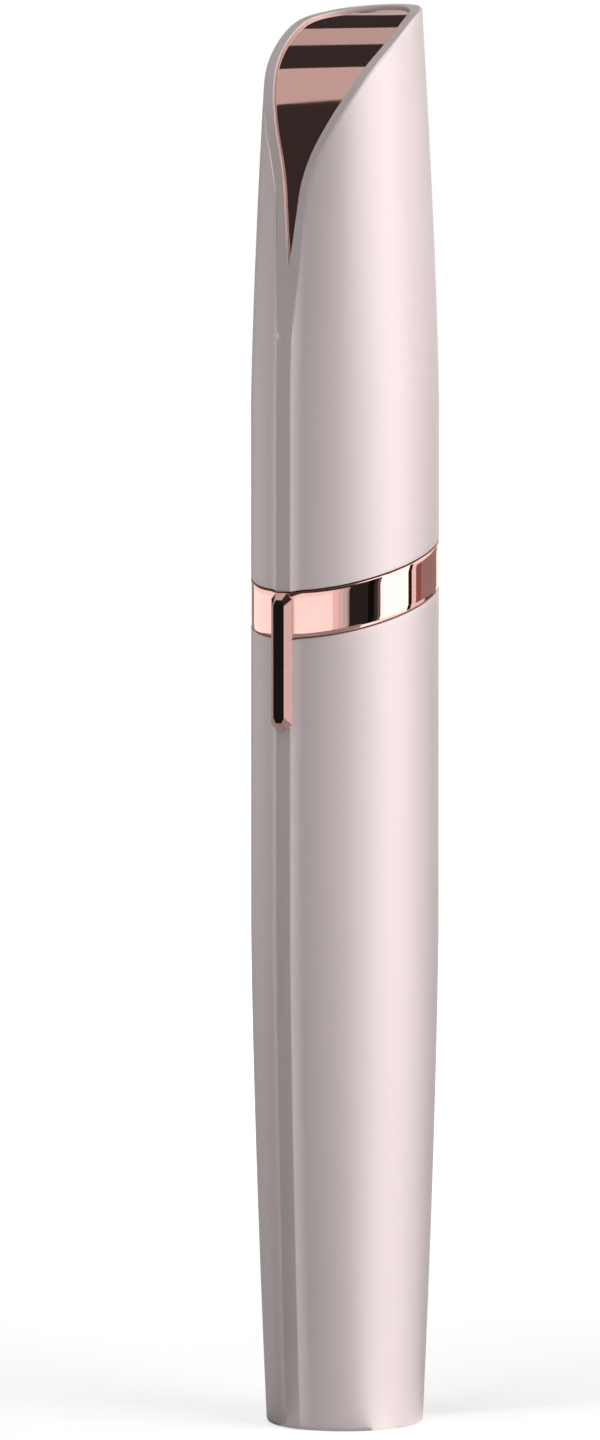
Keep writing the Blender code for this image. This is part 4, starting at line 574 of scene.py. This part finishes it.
def make_nose_shell():
    """The nose: a wall that narrows by a power curve, with the locating pad's ledge on the keel side.
    The pad is a circle set forward, so the wall takes whichever of the two reaches further."""
    angle = np.linspace(0, 2 * math.pi, NOSE_COLUMNS, endpoint=False)
    foot, band = BAND_BOTTOM + SEAM_GAP, BAND_TOP + SEAM_GAP
    wall = np.full(NOSE_COLUMNS, NOSE_RADIUS)
    wide = np.maximum(wall, pad_reach(angle))
    levels = ((wall - NOSE_WALL, foot), (wall, foot), (wall, BAND_TOP - SEAM_GAP), (wall, band), (wide, band))
    stack = [(radius, slanted(level, -radius * np.cos(angle))) for radius, level in levels]
    for inset, drop in ((0, PAD_EDGE), (0.00003, 0.00003), (PAD_EDGE, 0)):
        stack.append((np.maximum(wall, wide - inset), PAD_TOP - drop))
    for height in np.linspace(PAD_TOP, NOSE_TOP - NOSE_EDGE, 48):
        stack.append((nose_radius(height), height))
    for inset, drop in round_edge(NOSE_EDGE, 5)[1:]:
        stack.append((nose_radius(NOSE_TOP) - inset, NOSE_TOP - drop))
    stack += [(NOSE_MOUTH_RADIUS, height) for height in (NOSE_TOP, NOSE_TOP - NOSE_WALL)]
    for height in np.linspace(NOSE_TOP - NOSE_WALL, PAD_TOP, 20)[1:]:
        stack.append((nose_radius(height) - NOSE_WALL, height))
    rows = [round_row(radius, height, NOSE_COLUMNS) for radius, height in stack]
    return stacked("nose_shell", rows, angle=30)


def make_light_collar():
    """The light ring: a short tapering ring with rounded edges, and its spigot down inside the nose."""
    return revolved("light_collar", RING_CORNERS, 96, True, 40)


def make_slotted_tip():
    """The slotted tip: a thin cone closed at the top, its edges rounded, with narrow slots at even turns."""
    tip = revolved("slotted_tip", TIP_CORNERS, 144, False, SHARP_ANGLE)
    for index in range(SLOT_COUNT):
        turn = math.pi / 2 + 2 * math.pi * index / SLOT_COUNT
        combine(tip, block("slot", *SLOT_BOX, turn), "DIFFERENCE")
    shade_round(tip.data)
    return tip


def make_smooth_copy(node):
    """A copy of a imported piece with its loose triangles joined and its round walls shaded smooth."""
    mesh = frame["nodes"][node].data.copy()
    mesh.name = f"{node}_smooth"
    work = bmesh.new()
    work.from_mesh(mesh)
    bmesh.ops.remove_doubles(work, verts=work.verts, dist=COPY_MERGE_DISTANCE)
    work.to_mesh(mesh)
    work.free()
    for layer in list(mesh.uv_layers):
        mesh.uv_layers.remove(layer)
    mesh.materials.clear()
    shade_round(mesh)
    return placed(mesh.name, mesh)


def set_inputs(tree, node, inputs):
    """Gives a node's inputs, by name, their numbers, colours or the sockets that feed them."""
    for label, value in inputs.items():
        if isinstance(value, bpy.types.NodeSocket):
            tree.links.new(value, node.inputs[label])
        else:
            node.inputs[label].default_value = value


def new_node(tree, kind, inputs, **settings):
    """A new node with its settings and its inputs."""
    node = tree.nodes.new(kind)
    for label, value in settings.items():
        setattr(node, label, value)
    set_inputs(tree, node, inputs)
    return node


def new_group(name, inputs, outputs):
    """An empty shader node group whose named inputs and outputs are all numbers."""
    group = bpy.data.node_groups.new(name, "ShaderNodeTree")
    for label, default in inputs.items():
        socket = group.interface.new_socket(label, in_out="INPUT", socket_type="NodeSocketFloat")
        socket.default_value = default
    for label in outputs:
        group.interface.new_socket(label, in_out="OUTPUT", socket_type="NodeSocketFloat")
    return group, group.nodes.new("NodeGroupInput"), group.nodes.new("NodeGroupOutput")


def math_node(tree, operation, *values):
    """The result of a math node whose inputs are sockets or numbers."""
    return new_node(tree, "ShaderNodeMath", dict(enumerate(values)), operation=operation).outputs[0]


def object_place(tree):
    """Object coordinates."""
    return tree.nodes.new("ShaderNodeTexCoord").outputs["Object"]


def noise_node(tree, place, scale, detail):
    """A noise texture's value at a place; the scale is a number or a socket."""
    inputs = {"Vector": place, "Scale": scale, "Detail": detail}
    return new_node(tree, "ShaderNodeTexNoise", inputs).outputs["Fac"]


def build_grain_group():
    """Grain: a fine height and a slow mask, both from noise on Object coordinates."""
    sizes = {"Grain size": 4000.0, "Patch size": 120.0}
    group, start, end = new_group("Moulded grain", sizes, ("Height", "Patches"))
    place = object_place(group)
    fine = noise_node(group, place, start.outputs["Grain size"], 3.0)
    slow = noise_node(group, place, start.outputs["Patch size"], 2.0)
    set_inputs(group, end, {"Height": fine, "Patches": slow})
    return group


def build_flake_group():
    """Pearl flakes: cells a tenth of a millimetre across, each with its own brightness, over slow clouds."""
    sizes = {"Flake size": 9000.0, "Cloud size": 60.0}
    group, start, end = new_group("Pearl flakes", sizes, ("Flakes", "Clouds", "Height"))
    place = object_place(group)
    cells = new_node(group, "ShaderNodeTexVoronoi", {"Vector": place, "Scale": start.outputs["Flake size"]})
    split = new_node(group, "ShaderNodeSeparateColor", {0: cells.outputs["Color"]})
    clouds = noise_node(group, place, start.outputs["Cloud size"], 2.0)
    height = noise_node(group, place, 1500.0, 3.0)
    set_inputs(group, end, {"Flakes": split.outputs[0], "Clouds": clouds, "Height": height})
    return group


def build_streak_group():
    """Turning or drawing marks: noise stretched so that its streaks run round the axis or along it."""
    sizes = {"Across": 300.0, "Along": 9000.0}
    group, start, end = new_group("Tool marks", sizes, ("Height", "Marks"))
    split = new_node(group, "ShaderNodeSeparateXYZ", {0: object_place(group)})
    stretched = {}
    for axis, label in enumerate(("Across", "Across", "Along")):
        stretched[axis] = math_node(group, "MULTIPLY", split.outputs[axis], start.outputs[label])
    place = new_node(group, "ShaderNodeCombineXYZ", stretched).outputs[0]
    fine, slow = noise_node(group, place, 1.0, 3.0), noise_node(group, place, 0.35, 2.0)
    set_inputs(group, end, {"Height": fine, "Marks": slow})
    return group


def map_range(tree, value, start, end, low, high, **settings):
    """A value carried from start..end to low..high."""
    inputs = {"Value": value, "From Min": start, "From Max": end, "To Min": low, "To Max": high}
    return new_node(tree, "ShaderNodeMapRange", inputs, **settings).outputs["Result"]


def spread(tree, mask, low, high):
    """The middle half of a mask carried to low..high."""
    return map_range(tree, mask, 0.25, 0.75, low, high)


def mix_colours(tree, share, first, second, blend="MIX"):
    """A colour that goes from first to second with a share."""
    inputs = {"Factor": share, "A": first, "B": second}
    return new_node(tree, "ShaderNodeMix", inputs, data_type="RGBA", blend_type=blend).outputs["Result"]


def tint(tree, mask, first, second):
    """A colour that goes from one plain colour to another with a mask."""
    return mix_colours(tree, mask, (*first, 1), (*second, 1))


def bare_finish(name, colour, roughness, metallic, extra):
    """A material with its shader's constant values set on the shader's own sockets."""
    material = bpy.data.materials.new(name)
    material.use_nodes = True
    material.diffuse_color = (*colour, 1)
    tree = material.node_tree
    surface = tree.nodes["Principled BSDF"]
    plain = {"Base Color": (*colour, 1), "Roughness": roughness, "Metallic": metallic}
    set_inputs(tree, surface, plain | extra)
    return material, tree, surface


def place_group(tree, group, inputs):
    """The outputs of a node group placed in a material with its own values."""
    return new_node(tree, "ShaderNodeGroup", inputs, node_tree=group).outputs


def bump(tree, height, distance, strength):
    """A normal that leans with a height."""
    inputs = {"Height": height, "Distance": distance, "Strength": strength}
    return new_node(tree, "ShaderNodeBump", inputs).outputs["Normal"]


def shade(colour, share):
    """A colour made lighter or darker."""
    return tuple(min(1.0, value * share) for value in colour)


def pearl_finish(flakes, colour, lift):
    """Satin pearl lacquer: flakes and slow clouds in the colour, a satin base and a thin clear coat."""
    coat = {"Coat Weight": 0.08, "Coat Roughness": 0.22, "IOR": 1.45}
    material, tree, surface = bare_finish("pearl_satin", colour, 0.50, 0.55, coat)
    pattern = place_group(tree, flakes, {})
    clouds = tint(tree, pattern["Clouds"], shade(colour, 0.985), lift)
    grey = tint(tree, pattern["Flakes"], (0.7, 0.7, 0.7), (1.0, 1.0, 1.0))
    set_inputs(tree, surface, {
        "Base Color": mix_colours(tree, 0.06, clouds, grey, "MULTIPLY"),
        "Roughness": spread(tree, pattern["Clouds"], 0.48, 0.52),
        "Normal": bump(tree, pattern["Height"], 0.000002, 0.4),
    })
    return material


def mirror_finish(grain, colour):
    """Rose gold plating: polished, with faint clouds in its gloss and colour."""
    material, tree, surface = bare_finish("rose_gold_mirror", colour, 0.04, 1.0, {})
    clouds = place_group(tree, grain, {"Grain size": 900.0, "Patch size": 160.0})["Patches"]
    set_inputs(tree, surface, {
        "Base Color": tint(tree, clouds, shade(colour, 0.985), colour),
        "Roughness": spread(tree, clouds, 0.03, 0.05),
    })
    return material


def worn_finish(name, colour, roughness, metallic, pattern, style, depth):
    """A finish whose group gives its relief, and whose slow mask varies its colour and its gloss."""
    mask, darker, lighter, glossier, rougher, strength = style
    material, tree, surface = bare_finish(name, colour, roughness, metallic, {})
    outputs = place_group(tree, *pattern)
    set_inputs(tree, surface, {
        "Base Color": tint(tree, outputs[mask], shade(colour, darker), shade(colour, lighter)),
        "Roughness": spread(tree, outputs[mask], roughness - glossier, min(1.0, roughness + rougher)),
        "Normal": bump(tree, outputs["Height"], depth, strength),
    })
    return material


def grained_finish(grain, name, colour, roughness, metallic, size, depth):
    """Moulded or sintered stuff: fine grain in its relief, slow patches in colour and gloss."""
    pattern = (grain, {"Grain size": size, "Patch size": size / 12})
    style = ("Patches", 0.86, 1.12, 0.06, 0.06, 0.6)
    return worn_finish(name, colour, roughness, metallic, pattern, style, depth)


def tooled_finish(streaks, name, colour, roughness, across, along, depth):
    """Turned or drawn metal: fine marks in relief, gloss and colour."""
    pattern = (streaks, {"Across": across, "Along": along})
    style = ("Marks", 0.84, 1.08, 0.07, 0.08, 0.5)
    return worn_finish(name, colour, roughness, 1.0, pattern, style, depth)


def lit_finish(grain, colour):
    """The milky light ring: pale plastic that glows a little, with faint patches in its glow and colour."""
    glow = {"Emission Strength": 0.12, "Coat Weight": 0.3, "Coat Roughness": 0.1}
    material, tree, surface = bare_finish("light_guide", colour, 0.3, 0.0, glow)
    patches = place_group(tree, grain, {"Grain size": 2500.0, "Patch size": 500.0})["Patches"]
    set_inputs(tree, surface, {
        "Base Color": tint(tree, patches, shade(colour, 0.97), colour),
        "Emission Color": tint(tree, patches, (0.92, 0.93, 0.95), (1.0, 1.0, 0.99)),
    })
    return material


def ray_mask(tree):
    """One for camera, glossy and transmission rays, so that mirrors and glass show the backdrop too."""
    path = tree.nodes.new("ShaderNodeLightPath").outputs
    first = math_node(tree, "MAXIMUM", path["Is Camera Ray"], path["Is Glossy Ray"])
    return math_node(tree, "MAXIMUM", first, path["Is Transmission Ray"])


def make_world(fill):
    """A white backdrop for what sees it, and a weaker even light for everything else."""
    world = bpy.data.worlds.new("studio")
    world.use_nodes = True
    tree = world.node_tree
    level = math_node(tree, "MULTIPLY_ADD", ray_mask(tree), 1.0 - fill, fill)
    set_inputs(tree, tree.nodes["Background"], {"Color": (1, 1, 1, 1), "Strength": level})
    bpy.context.scene.world = world


def make_floor(colour, glow):
    """A wide pale floor that keeps the shadow. Its glow rises to the backdrop's white with the distance from
    the middle of its own Object coordinates."""
    material, tree, surface = bare_finish("studio_floor", colour, 0.9, 0.0, {"Emission Color": (1, 1, 1, 1)})
    away = new_node(tree, "ShaderNodeVectorMath", {0: object_place(tree)}, operation="LENGTH")
    distances = (away.outputs["Value"], FLOOR_GLOW_START, FLOOR_GLOW_END)
    rise = map_range(tree, *distances, glow, 1.0, interpolation_type="SMOOTHSTEP")
    set_inputs(tree, surface, {"Emission Strength": math_node(tree, "MULTIPLY", ray_mask(tree), rise)})
    corners = FLOOR_HALF * np.array([(-1, -1, 0), (1, -1, 0), (1, 1, 0), (-1, 1, 0)])
    mesh = plain_mesh("studio_floor", corners, [(0, 1, 2, 3)])
    mesh.materials.append(material)
    placed("studio_floor", mesh)


def card_finish(name, level):
    """An even glow from a grey level or a colour."""
    material = bpy.data.materials.new(name)
    material.use_nodes = True
    tree = material.node_tree
    tree.nodes.clear()
    light = new_node(tree, "ShaderNodeEmission", {"Color": (*np.broadcast_to(level, 3), 1)})
    new_node(tree, "ShaderNodeOutputMaterial", {"Surface": light.outputs[0]})
    return material


def make_card(name, left, right, low, high, level):
    """A card that only mirrors and gloss see, bent round the trimmer between two bearings and two elevations,
    in degrees, seen from its middle. Where it would pass through the floor, it lies just over it instead."""
    bearing = np.radians(np.linspace(left, right, CARD_COLUMNS))[None]
    rise = np.radians(np.linspace(low, high, CARD_ROWS))[:, None]
    reach = (MIDDLE_HEIGHT - CARD_CLEARANCE) / np.maximum(np.sin(-rise), 0.01)
    reach = np.minimum(CARD_DISTANCE, reach)
    across = reach * np.cos(rise) * np.sin(bearing)
    depth = -reach * np.cos(rise) * np.cos(bearing)
    height = MIDDLE_HEIGHT + reach * np.sin(rise)
    points = np.stack(np.broadcast_arrays(across, depth, height), axis=-1)
    mesh = plain_mesh(name, points, grid_faces(CARD_ROWS, CARD_COLUMNS, False, False))
    mesh.materials.append(card_finish(name, level))
    card = placed(name, mesh)
    for rays in ("camera", "diffuse", "shadow", "transmission"):
        setattr(card, f"visible_{rays}", False)


def make_softbox(name, bearing, elevation, distance, size, power):
    """An area light that faces the trimmer's middle. Mirrors and gloss see the cards instead of it."""
    light = bpy.data.lights.new(name, "AREA")
    light.shape = "RECTANGLE"
    light.size, light.size_y = size
    light.energy = power
    turn, rise = math.radians(bearing), math.radians(elevation)
    away = Vector((math.sin(turn) * math.cos(rise), -math.cos(turn) * math.cos(rise), math.sin(rise)))
    lamp = placed(name, light)
    lamp.location = away * distance + Vector((0, 0, MIDDLE_HEIGHT))
    lamp.rotation_euler = away.to_track_quat("Z", "Y").to_euler()
    lamp.visible_camera = False
    lamp.visible_glossy = False


def make_camera(stage):
    """The camera at the photograph's angle: a bearing round the axis, a small tilt down and a turn left."""
    data = bpy.data.cameras.new("photo_camera")
    data.lens = stage.lens
    data.sensor_width = 36
    data.clip_start, data.clip_end = 0.01, 20
    angle = math.radians(stage.bearing)
    camera = placed("photo_camera", data)
    camera.location = (stage.distance * math.sin(angle), -stage.distance * math.cos(angle), stage.height)
    camera.rotation_euler = (math.radians(90 - stage.tilt), 0, angle + math.radians(stage.turn))
    bpy.context.scene.camera = camera


# What the property of every colour has
COLOUR = {"subtype": "COLOR", "size": 3, "min": 0, "max": 1}


class TrimmerColours(bpy.types.PropertyGroup):
    """Colours of the trimmer's outside."""

    pearl: bpy.props.FloatVectorProperty(
        name="Pearl", description="Colour of the handle and cap", default=(0.81, 0.70, 0.695), **COLOUR
    )
    pearl_lift: bpy.props.FloatVectorProperty(
        name="Pearl lift", description="Lighter clouds in the pearl", default=(0.83, 0.72, 0.715), **COLOUR
    )
    rose_gold: bpy.props.FloatVectorProperty(
        name="Rose gold", description="Colour of the mirror plating", default=(0.96, 0.575, 0.515), **COLOUR
    )
    rose_gold_satin: bpy.props.FloatVectorProperty(
        name="Satin rose gold", description="Colour of the slotted tip", default=(0.80, 0.60, 0.56), **COLOUR
    )
    light_guide: bpy.props.FloatVectorProperty(
        name="Light ring", description="Colour of the milky light ring", default=(0.95, 0.95, 0.95), **COLOUR
    )


class TrimmerStage(bpy.types.PropertyGroup):
    """Camera, light and floor."""

    bearing: bpy.props.FloatProperty(
        name="Bearing", description="Bearing of the camera, in degrees from the keel", default=39.0
    )
    distance: bpy.props.FloatProperty(
        name="Distance", description="Camera's distance from the axis", default=0.786, unit="LENGTH"
    )
    height: bpy.props.FloatProperty(
        name="Height", description="Camera's height over the floor", default=0.11353, unit="LENGTH"
    )
    lens: bpy.props.FloatProperty(name="Lens", description="Focal length in millimetres", default=199.8)
    tilt: bpy.props.FloatProperty(name="Tilt", description="Tilt down, in degrees", default=3.208)
    turn: bpy.props.FloatProperty(name="Turn", description="Turn to the left, in degrees", default=0.323)
    fill: bpy.props.FloatProperty(name="Fill", description="Strength of the even light", default=0.12, min=0)
    key_power: bpy.props.FloatProperty(
        name="Key", description="Power of the large softbox", default=3.6, min=0, unit="POWER"
    )
    top_power: bpy.props.FloatProperty(
        name="Top", description="Power of the softbox above the keel", default=2.2, min=0, unit="POWER"
    )
    floor: bpy.props.FloatVectorProperty(
        name="Floor", description="Colour of the floor", default=(0.8, 0.8, 0.8), **COLOUR
    )
    floor_glow: bpy.props.FloatProperty(
        name="Floor glow", description="Glow of the floor near the trimmer; 1 is white", default=0.53, min=0
    )


# Name, colour, roughness, metallic, grain size and grain depth
GRAINED = (
    ("grey_plastic", (0.33, 0.34, 0.36), 0.5, 0.0, 5000.0, 0.00001),
    ("black_plastic", (0.03, 0.03, 0.035), 0.45, 0.0, 5000.0, 0.00001),
    ("white_plastic", (0.82, 0.82, 0.80), 0.4, 0.0, 5000.0, 0.000006),
    ("magnet", (0.13, 0.13, 0.14), 0.55, 0.4, 7000.0, 0.00001),
    ("board_green", (0.04, 0.20, 0.09), 0.35, 0.0, 3000.0, 0.000005),
    ("rubber", (0.05, 0.05, 0.05), 0.7, 0.0, 6000.0, 0.00001),
    ("foam", (0.16, 0.16, 0.17), 0.95, 0.0, 3500.0, 0.00012),
    ("battery_jacket", (0.10, 0.16, 0.34), 0.3, 0.0, 2500.0, 0.000003),
    ("lead_red", (0.55, 0.05, 0.04), 0.45, 0.0, 6000.0, 0.000004),
    ("lead_black", (0.02, 0.02, 0.02), 0.45, 0.0, 6000.0, 0.000004),
    ("led_yellow", (0.90, 0.82, 0.45), 0.3, 0.0, 4000.0, 0.000004),
)

# Name, colour, roughness, fineness of the marks across and along the axis, and their depth
TOOLED = (
    ("steel", (0.62, 0.62, 0.63), 0.28, 300.0, 9000.0, 0.000003),
    ("nickel", (0.72, 0.70, 0.66), 0.22, 1500.0, 3000.0, 0.000002),
    ("brass", (0.80, 0.60, 0.27), 0.25, 400.0, 9000.0, 0.000003),
    ("copper", (0.72, 0.36, 0.20), 0.35, 900.0, 15000.0, 0.00001),
)

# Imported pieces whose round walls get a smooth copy
ROUND_PIECES = (
    "battery_cell", "battery_terminal", "battery_spring", "positive_contact", "seal_ring", "motor_can",
    "motor_magnet", "motor_end_cap", "motor_carrier", "spindle_housing", "spindle_bush", "motor_lead_black",
    "motor_lead_red", "light_lead", "guard_collar", "motor_rotor", "drive_coupling", "cutter_spindle",
    "cutter_spring", "cutter_head", "led_board", "board_screw_left", "board_screw_right", "chassis_frame",
    "handle_pad",
)

# Cards that only mirrors and gloss see: bearings and elevations in degrees, then the level or colour
CARDS = (
    ("fade_in_1", 24, 31, -7, 4, (0.87, 0.80, 0.82)),
    ("fade_in_2", 31, 36.5, -7, 4, (0.69, 0.68, 0.71)),
    ("fade_in_3", 36.5, 41.5, -7, 4, (0.56, 0.60, 0.63)),
    ("fade_in_4", 41.5, 44, -7, 4, (0.36, 0.41, 0.44)),
    ("black_strip", 44, 67, -9, 8, (0.021, 0.024, 0.021)),
    ("black_core", 67, 74.6, -9, 8, (0.004, 0.006, 0.004)),
    ("fade_out_1", 74.6, 79, -9, 8, (0.034, 0.034, 0.036)),
    ("fade_out_2", 79, 83, -9, 8, (0.116, 0.142, 0.168)),
    ("wing_low", 60, 83, FLOOR_REACH, -9, 1.5),
    ("wing_high", 47, 83, 8, 65, 2.1),
    ("key_card", 83, 122.5, -8, 10, 1.85),
    ("key_high", 83, 122.5, 10, 65, 1.2),
    ("key_floor", 83, 122.5, FLOOR_REACH, -8, 1.2),
    ("keel_strip", -52, -27, -7, 4, 0.012),
    ("plate_dark_low", -54.6, 47, 4, 75, 0.035),
    ("plate_light_low", -77, -54.6, 4, 75, 0.56),
    ("plate_dark_mid", -98.3, -77, 4, 75, 0.035),
    ("plate_light_mid", -113, -98.3, 4, 75, 0.50),
    ("plate_dark_high", -137.5, -113, 4, 75, 0.035),
    ("plate_light_high", -170, -137.5, 4, 75, 0.50),
    ("floor_left", -170, -60, FLOOR_REACH, -7, (0.32, 0.32, 0.33)),
    ("keel_floor", -60, -18, FLOOR_REACH, -7, 0.02),
    ("floor_front", -18, 60, FLOOR_REACH, -7, (0.32, 0.32, 0.33)),
    ("left_strip", -127, -110, -7, 4, 0.30),
    ("back_strip", 122.5, 128.5, -9, 15, 0.012),
    ("line_light", 128.5, 136, -5, 1, (0.90, 0.85, 0.87)),
    ("line_dark", 136, 146, -5, 1, (0.27, 0.12, 0.11)),
    ("line_mid", 146, 190, -5, 1, (0.31, 0.25, 0.24)),
    ("back_panel", 128.5, 190, 1, 6, (1.10, 1.02, 1.00)),
    ("back_low", 128.5, 156, FLOOR_REACH, -5, 0.85),
    ("back_dark_low", 156, 190, FLOOR_REACH, -5, 0.10),
    ("back_high", 128.5, 156, 6, 75, 1.5),
    ("back_edge_high", 156, 190, 6, 75, 0.9),
)

# Materials by the record's slot names, which the first step makes
FINISHES = {}


def dress(piece, body, slot, node):
    """Gives a piece the finish of the record's slot, and lets it ride on its body and stand for its node."""
    piece.data.materials.append(FINISHES[slot])
    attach(piece, body)
    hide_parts(node)


class TRIMMER_OT_finishes(bpy.types.Operator):
    """Make the materials, by the record's slot names"""

    bl_idname = "trimmer.finishes"
    bl_label = "Finishes"

    def execute(self, context):
        colours = context.scene.trimmer_colours
        grain, flakes, streaks = build_grain_group(), build_flake_group(), build_streak_group()
        FINISHES["pearl_satin"] = pearl_finish(flakes, colours.pearl, colours.pearl_lift)
        FINISHES["rose_gold_mirror"] = mirror_finish(grain, colours.rose_gold)
        FINISHES["light_guide"] = lit_finish(grain, colours.light_guide)
        satin = ("rose_gold_satin", colours.rose_gold_satin, 0.2, 400.0, 12000.0, 0.000002)
        FINISHES.update((row[0], tooled_finish(streaks, *row)) for row in (satin, *TOOLED))
        FINISHES.update((row[0], grained_finish(grain, *row)) for row in GRAINED)
        return {"FINISHED"}


class TRIMMER_OT_handle(bpy.types.Operator):
    """Make the handle sleeve"""

    bl_idname = "trimmer.handle"
    bl_label = "Handle sleeve"

    def execute(self, context):
        dress(make_handle_sleeve(), "handle", "pearl_satin", "handle_shell")
        return {"FINISHED"}


class TRIMMER_OT_band(bpy.types.Operator):
    """Make the slanted band"""

    bl_idname = "trimmer.band"
    bl_label = "Band"

    def execute(self, context):
        dress(make_band_trim(), "chassis", "rose_gold_mirror", "band_ring")
        return {"FINISHED"}


class TRIMMER_OT_cap(bpy.types.Operator):
    """Make the cap and its mirror plate"""

    bl_idname = "trimmer.cap"
    bl_label = "Cap and plate"

    def execute(self, context):
        dress(make_cap_sleeve(), "cap", "pearl_satin", "cap_shell")
        dress(make_cap_plate(), "cap", "rose_gold_mirror", "cap_plate")
        return {"FINISHED"}


class TRIMMER_OT_slider(bpy.types.Operator):
    """Make the switch bar on the keel"""

    bl_idname = "trimmer.slider"
    bl_label = "Switch bar"

    def execute(self, context):
        dress(make_switch_slider(), "switch", "rose_gold_mirror", "switch_bar")
        return {"FINISHED"}


class TRIMMER_OT_nose(bpy.types.Operator):
    """Make the nose, the light ring and the slotted tip"""

    bl_idname = "trimmer.nose"
    bl_label = "Nose, light and tip"

    def execute(self, context):
        dress(make_nose_shell(), "chassis", "rose_gold_mirror", "nose_cone")
        dress(make_light_collar(), "chassis", "light_guide", "light_ring")
        dress(make_slotted_tip(), "guard", "rose_gold_satin", "tip_guard")
        return {"FINISHED"}


class TRIMMER_OT_inside(bpy.types.Operator):
    """Make smooth copies of the round pieces inside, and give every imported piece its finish"""

    bl_idname = "trimmer.inside"
    bl_label = "Inside pieces"

    def execute(self, context):
        slots = {item["node"]: item["material_slot"] for item in frame["record"]["subparts"]}
        bodies = frame["record"]["behaviour"]["bodies"]
        homes = {node: body for body, nodes in bodies.items() for node in nodes}
        for node in ROUND_PIECES:
            dress(make_smooth_copy(node), homes[node], slots[node], node)
        for node, slot in slots.items():
            for place in frame["nodes"][node].material_slots:
                place.link = "OBJECT"
                place.material = FINISHES[slot]
        return {"FINISHED"}


class TRIMMER_OT_stage(bpy.types.Operator):
    """Make the camera, the backdrop, the floor, the softboxes and the cards"""

    bl_idname = "trimmer.stage"
    bl_label = "Stage"

    def execute(self, context):
        stage = context.scene.trimmer_stage
        make_camera(stage)
        make_world(stage.fill)
        make_floor(tuple(stage.floor), stage.floor_glow)
        make_softbox("key_softbox", 93, 8, 0.62, (0.5, 1.0), stage.key_power)
        make_softbox("top_softbox", -10, 60, 0.7, (0.5, 0.5), stage.top_power)
        for card in CARDS:
            make_card(*card)
        context.scene.view_settings.view_transform = "Standard"
        return {"FINISHED"}


STEPS = (
    TRIMMER_OT_finishes,
    TRIMMER_OT_handle,
    TRIMMER_OT_band,
    TRIMMER_OT_cap,
    TRIMMER_OT_slider,
    TRIMMER_OT_nose,
    TRIMMER_OT_inside,
    TRIMMER_OT_stage,
)


class TRIMMER_PT_panel(bpy.types.Panel):
    """Lists the trimmer's colours and steps"""

    bl_label = "Eyebrow trimmer"
    bl_idname = "TRIMMER_PT_panel"
    bl_space_type = "VIEW_3D"
    bl_region_type = "UI"
    bl_category = "Trimmer"

    def draw(self, context):
        layout = self.layout
        for group in (context.scene.trimmer_colours, context.scene.trimmer_stage):
            box = layout.box()
            for name in group.__annotations__:
                box.prop(group, name)
        for step in STEPS:
            layout.operator(step.bl_idname)


CLASSES = (TrimmerColours, TrimmerStage, *STEPS, TRIMMER_PT_panel)


def register():
    for item in CLASSES:
        bpy.utils.register_class(item)
    bpy.types.Scene.trimmer_colours = bpy.props.PointerProperty(type=TrimmerColours)
    bpy.types.Scene.trimmer_stage = bpy.props.PointerProperty(type=TrimmerStage)


def unregister():
    del bpy.types.Scene.trimmer_stage
    del bpy.types.Scene.trimmer_colours
    for item in reversed(CLASSES):
        bpy.utils.unregister_class(item)


def main():
    register()
    bpy.ops.trimmer.finishes()
    bpy.ops.trimmer.handle()
    bpy.ops.trimmer.band()
    bpy.ops.trimmer.cap()
    bpy.ops.trimmer.slider()
    bpy.ops.trimmer.nose()
    bpy.ops.trimmer.inside()
    bpy.ops.trimmer.stage()


if __name__ == "__main__":
    main()
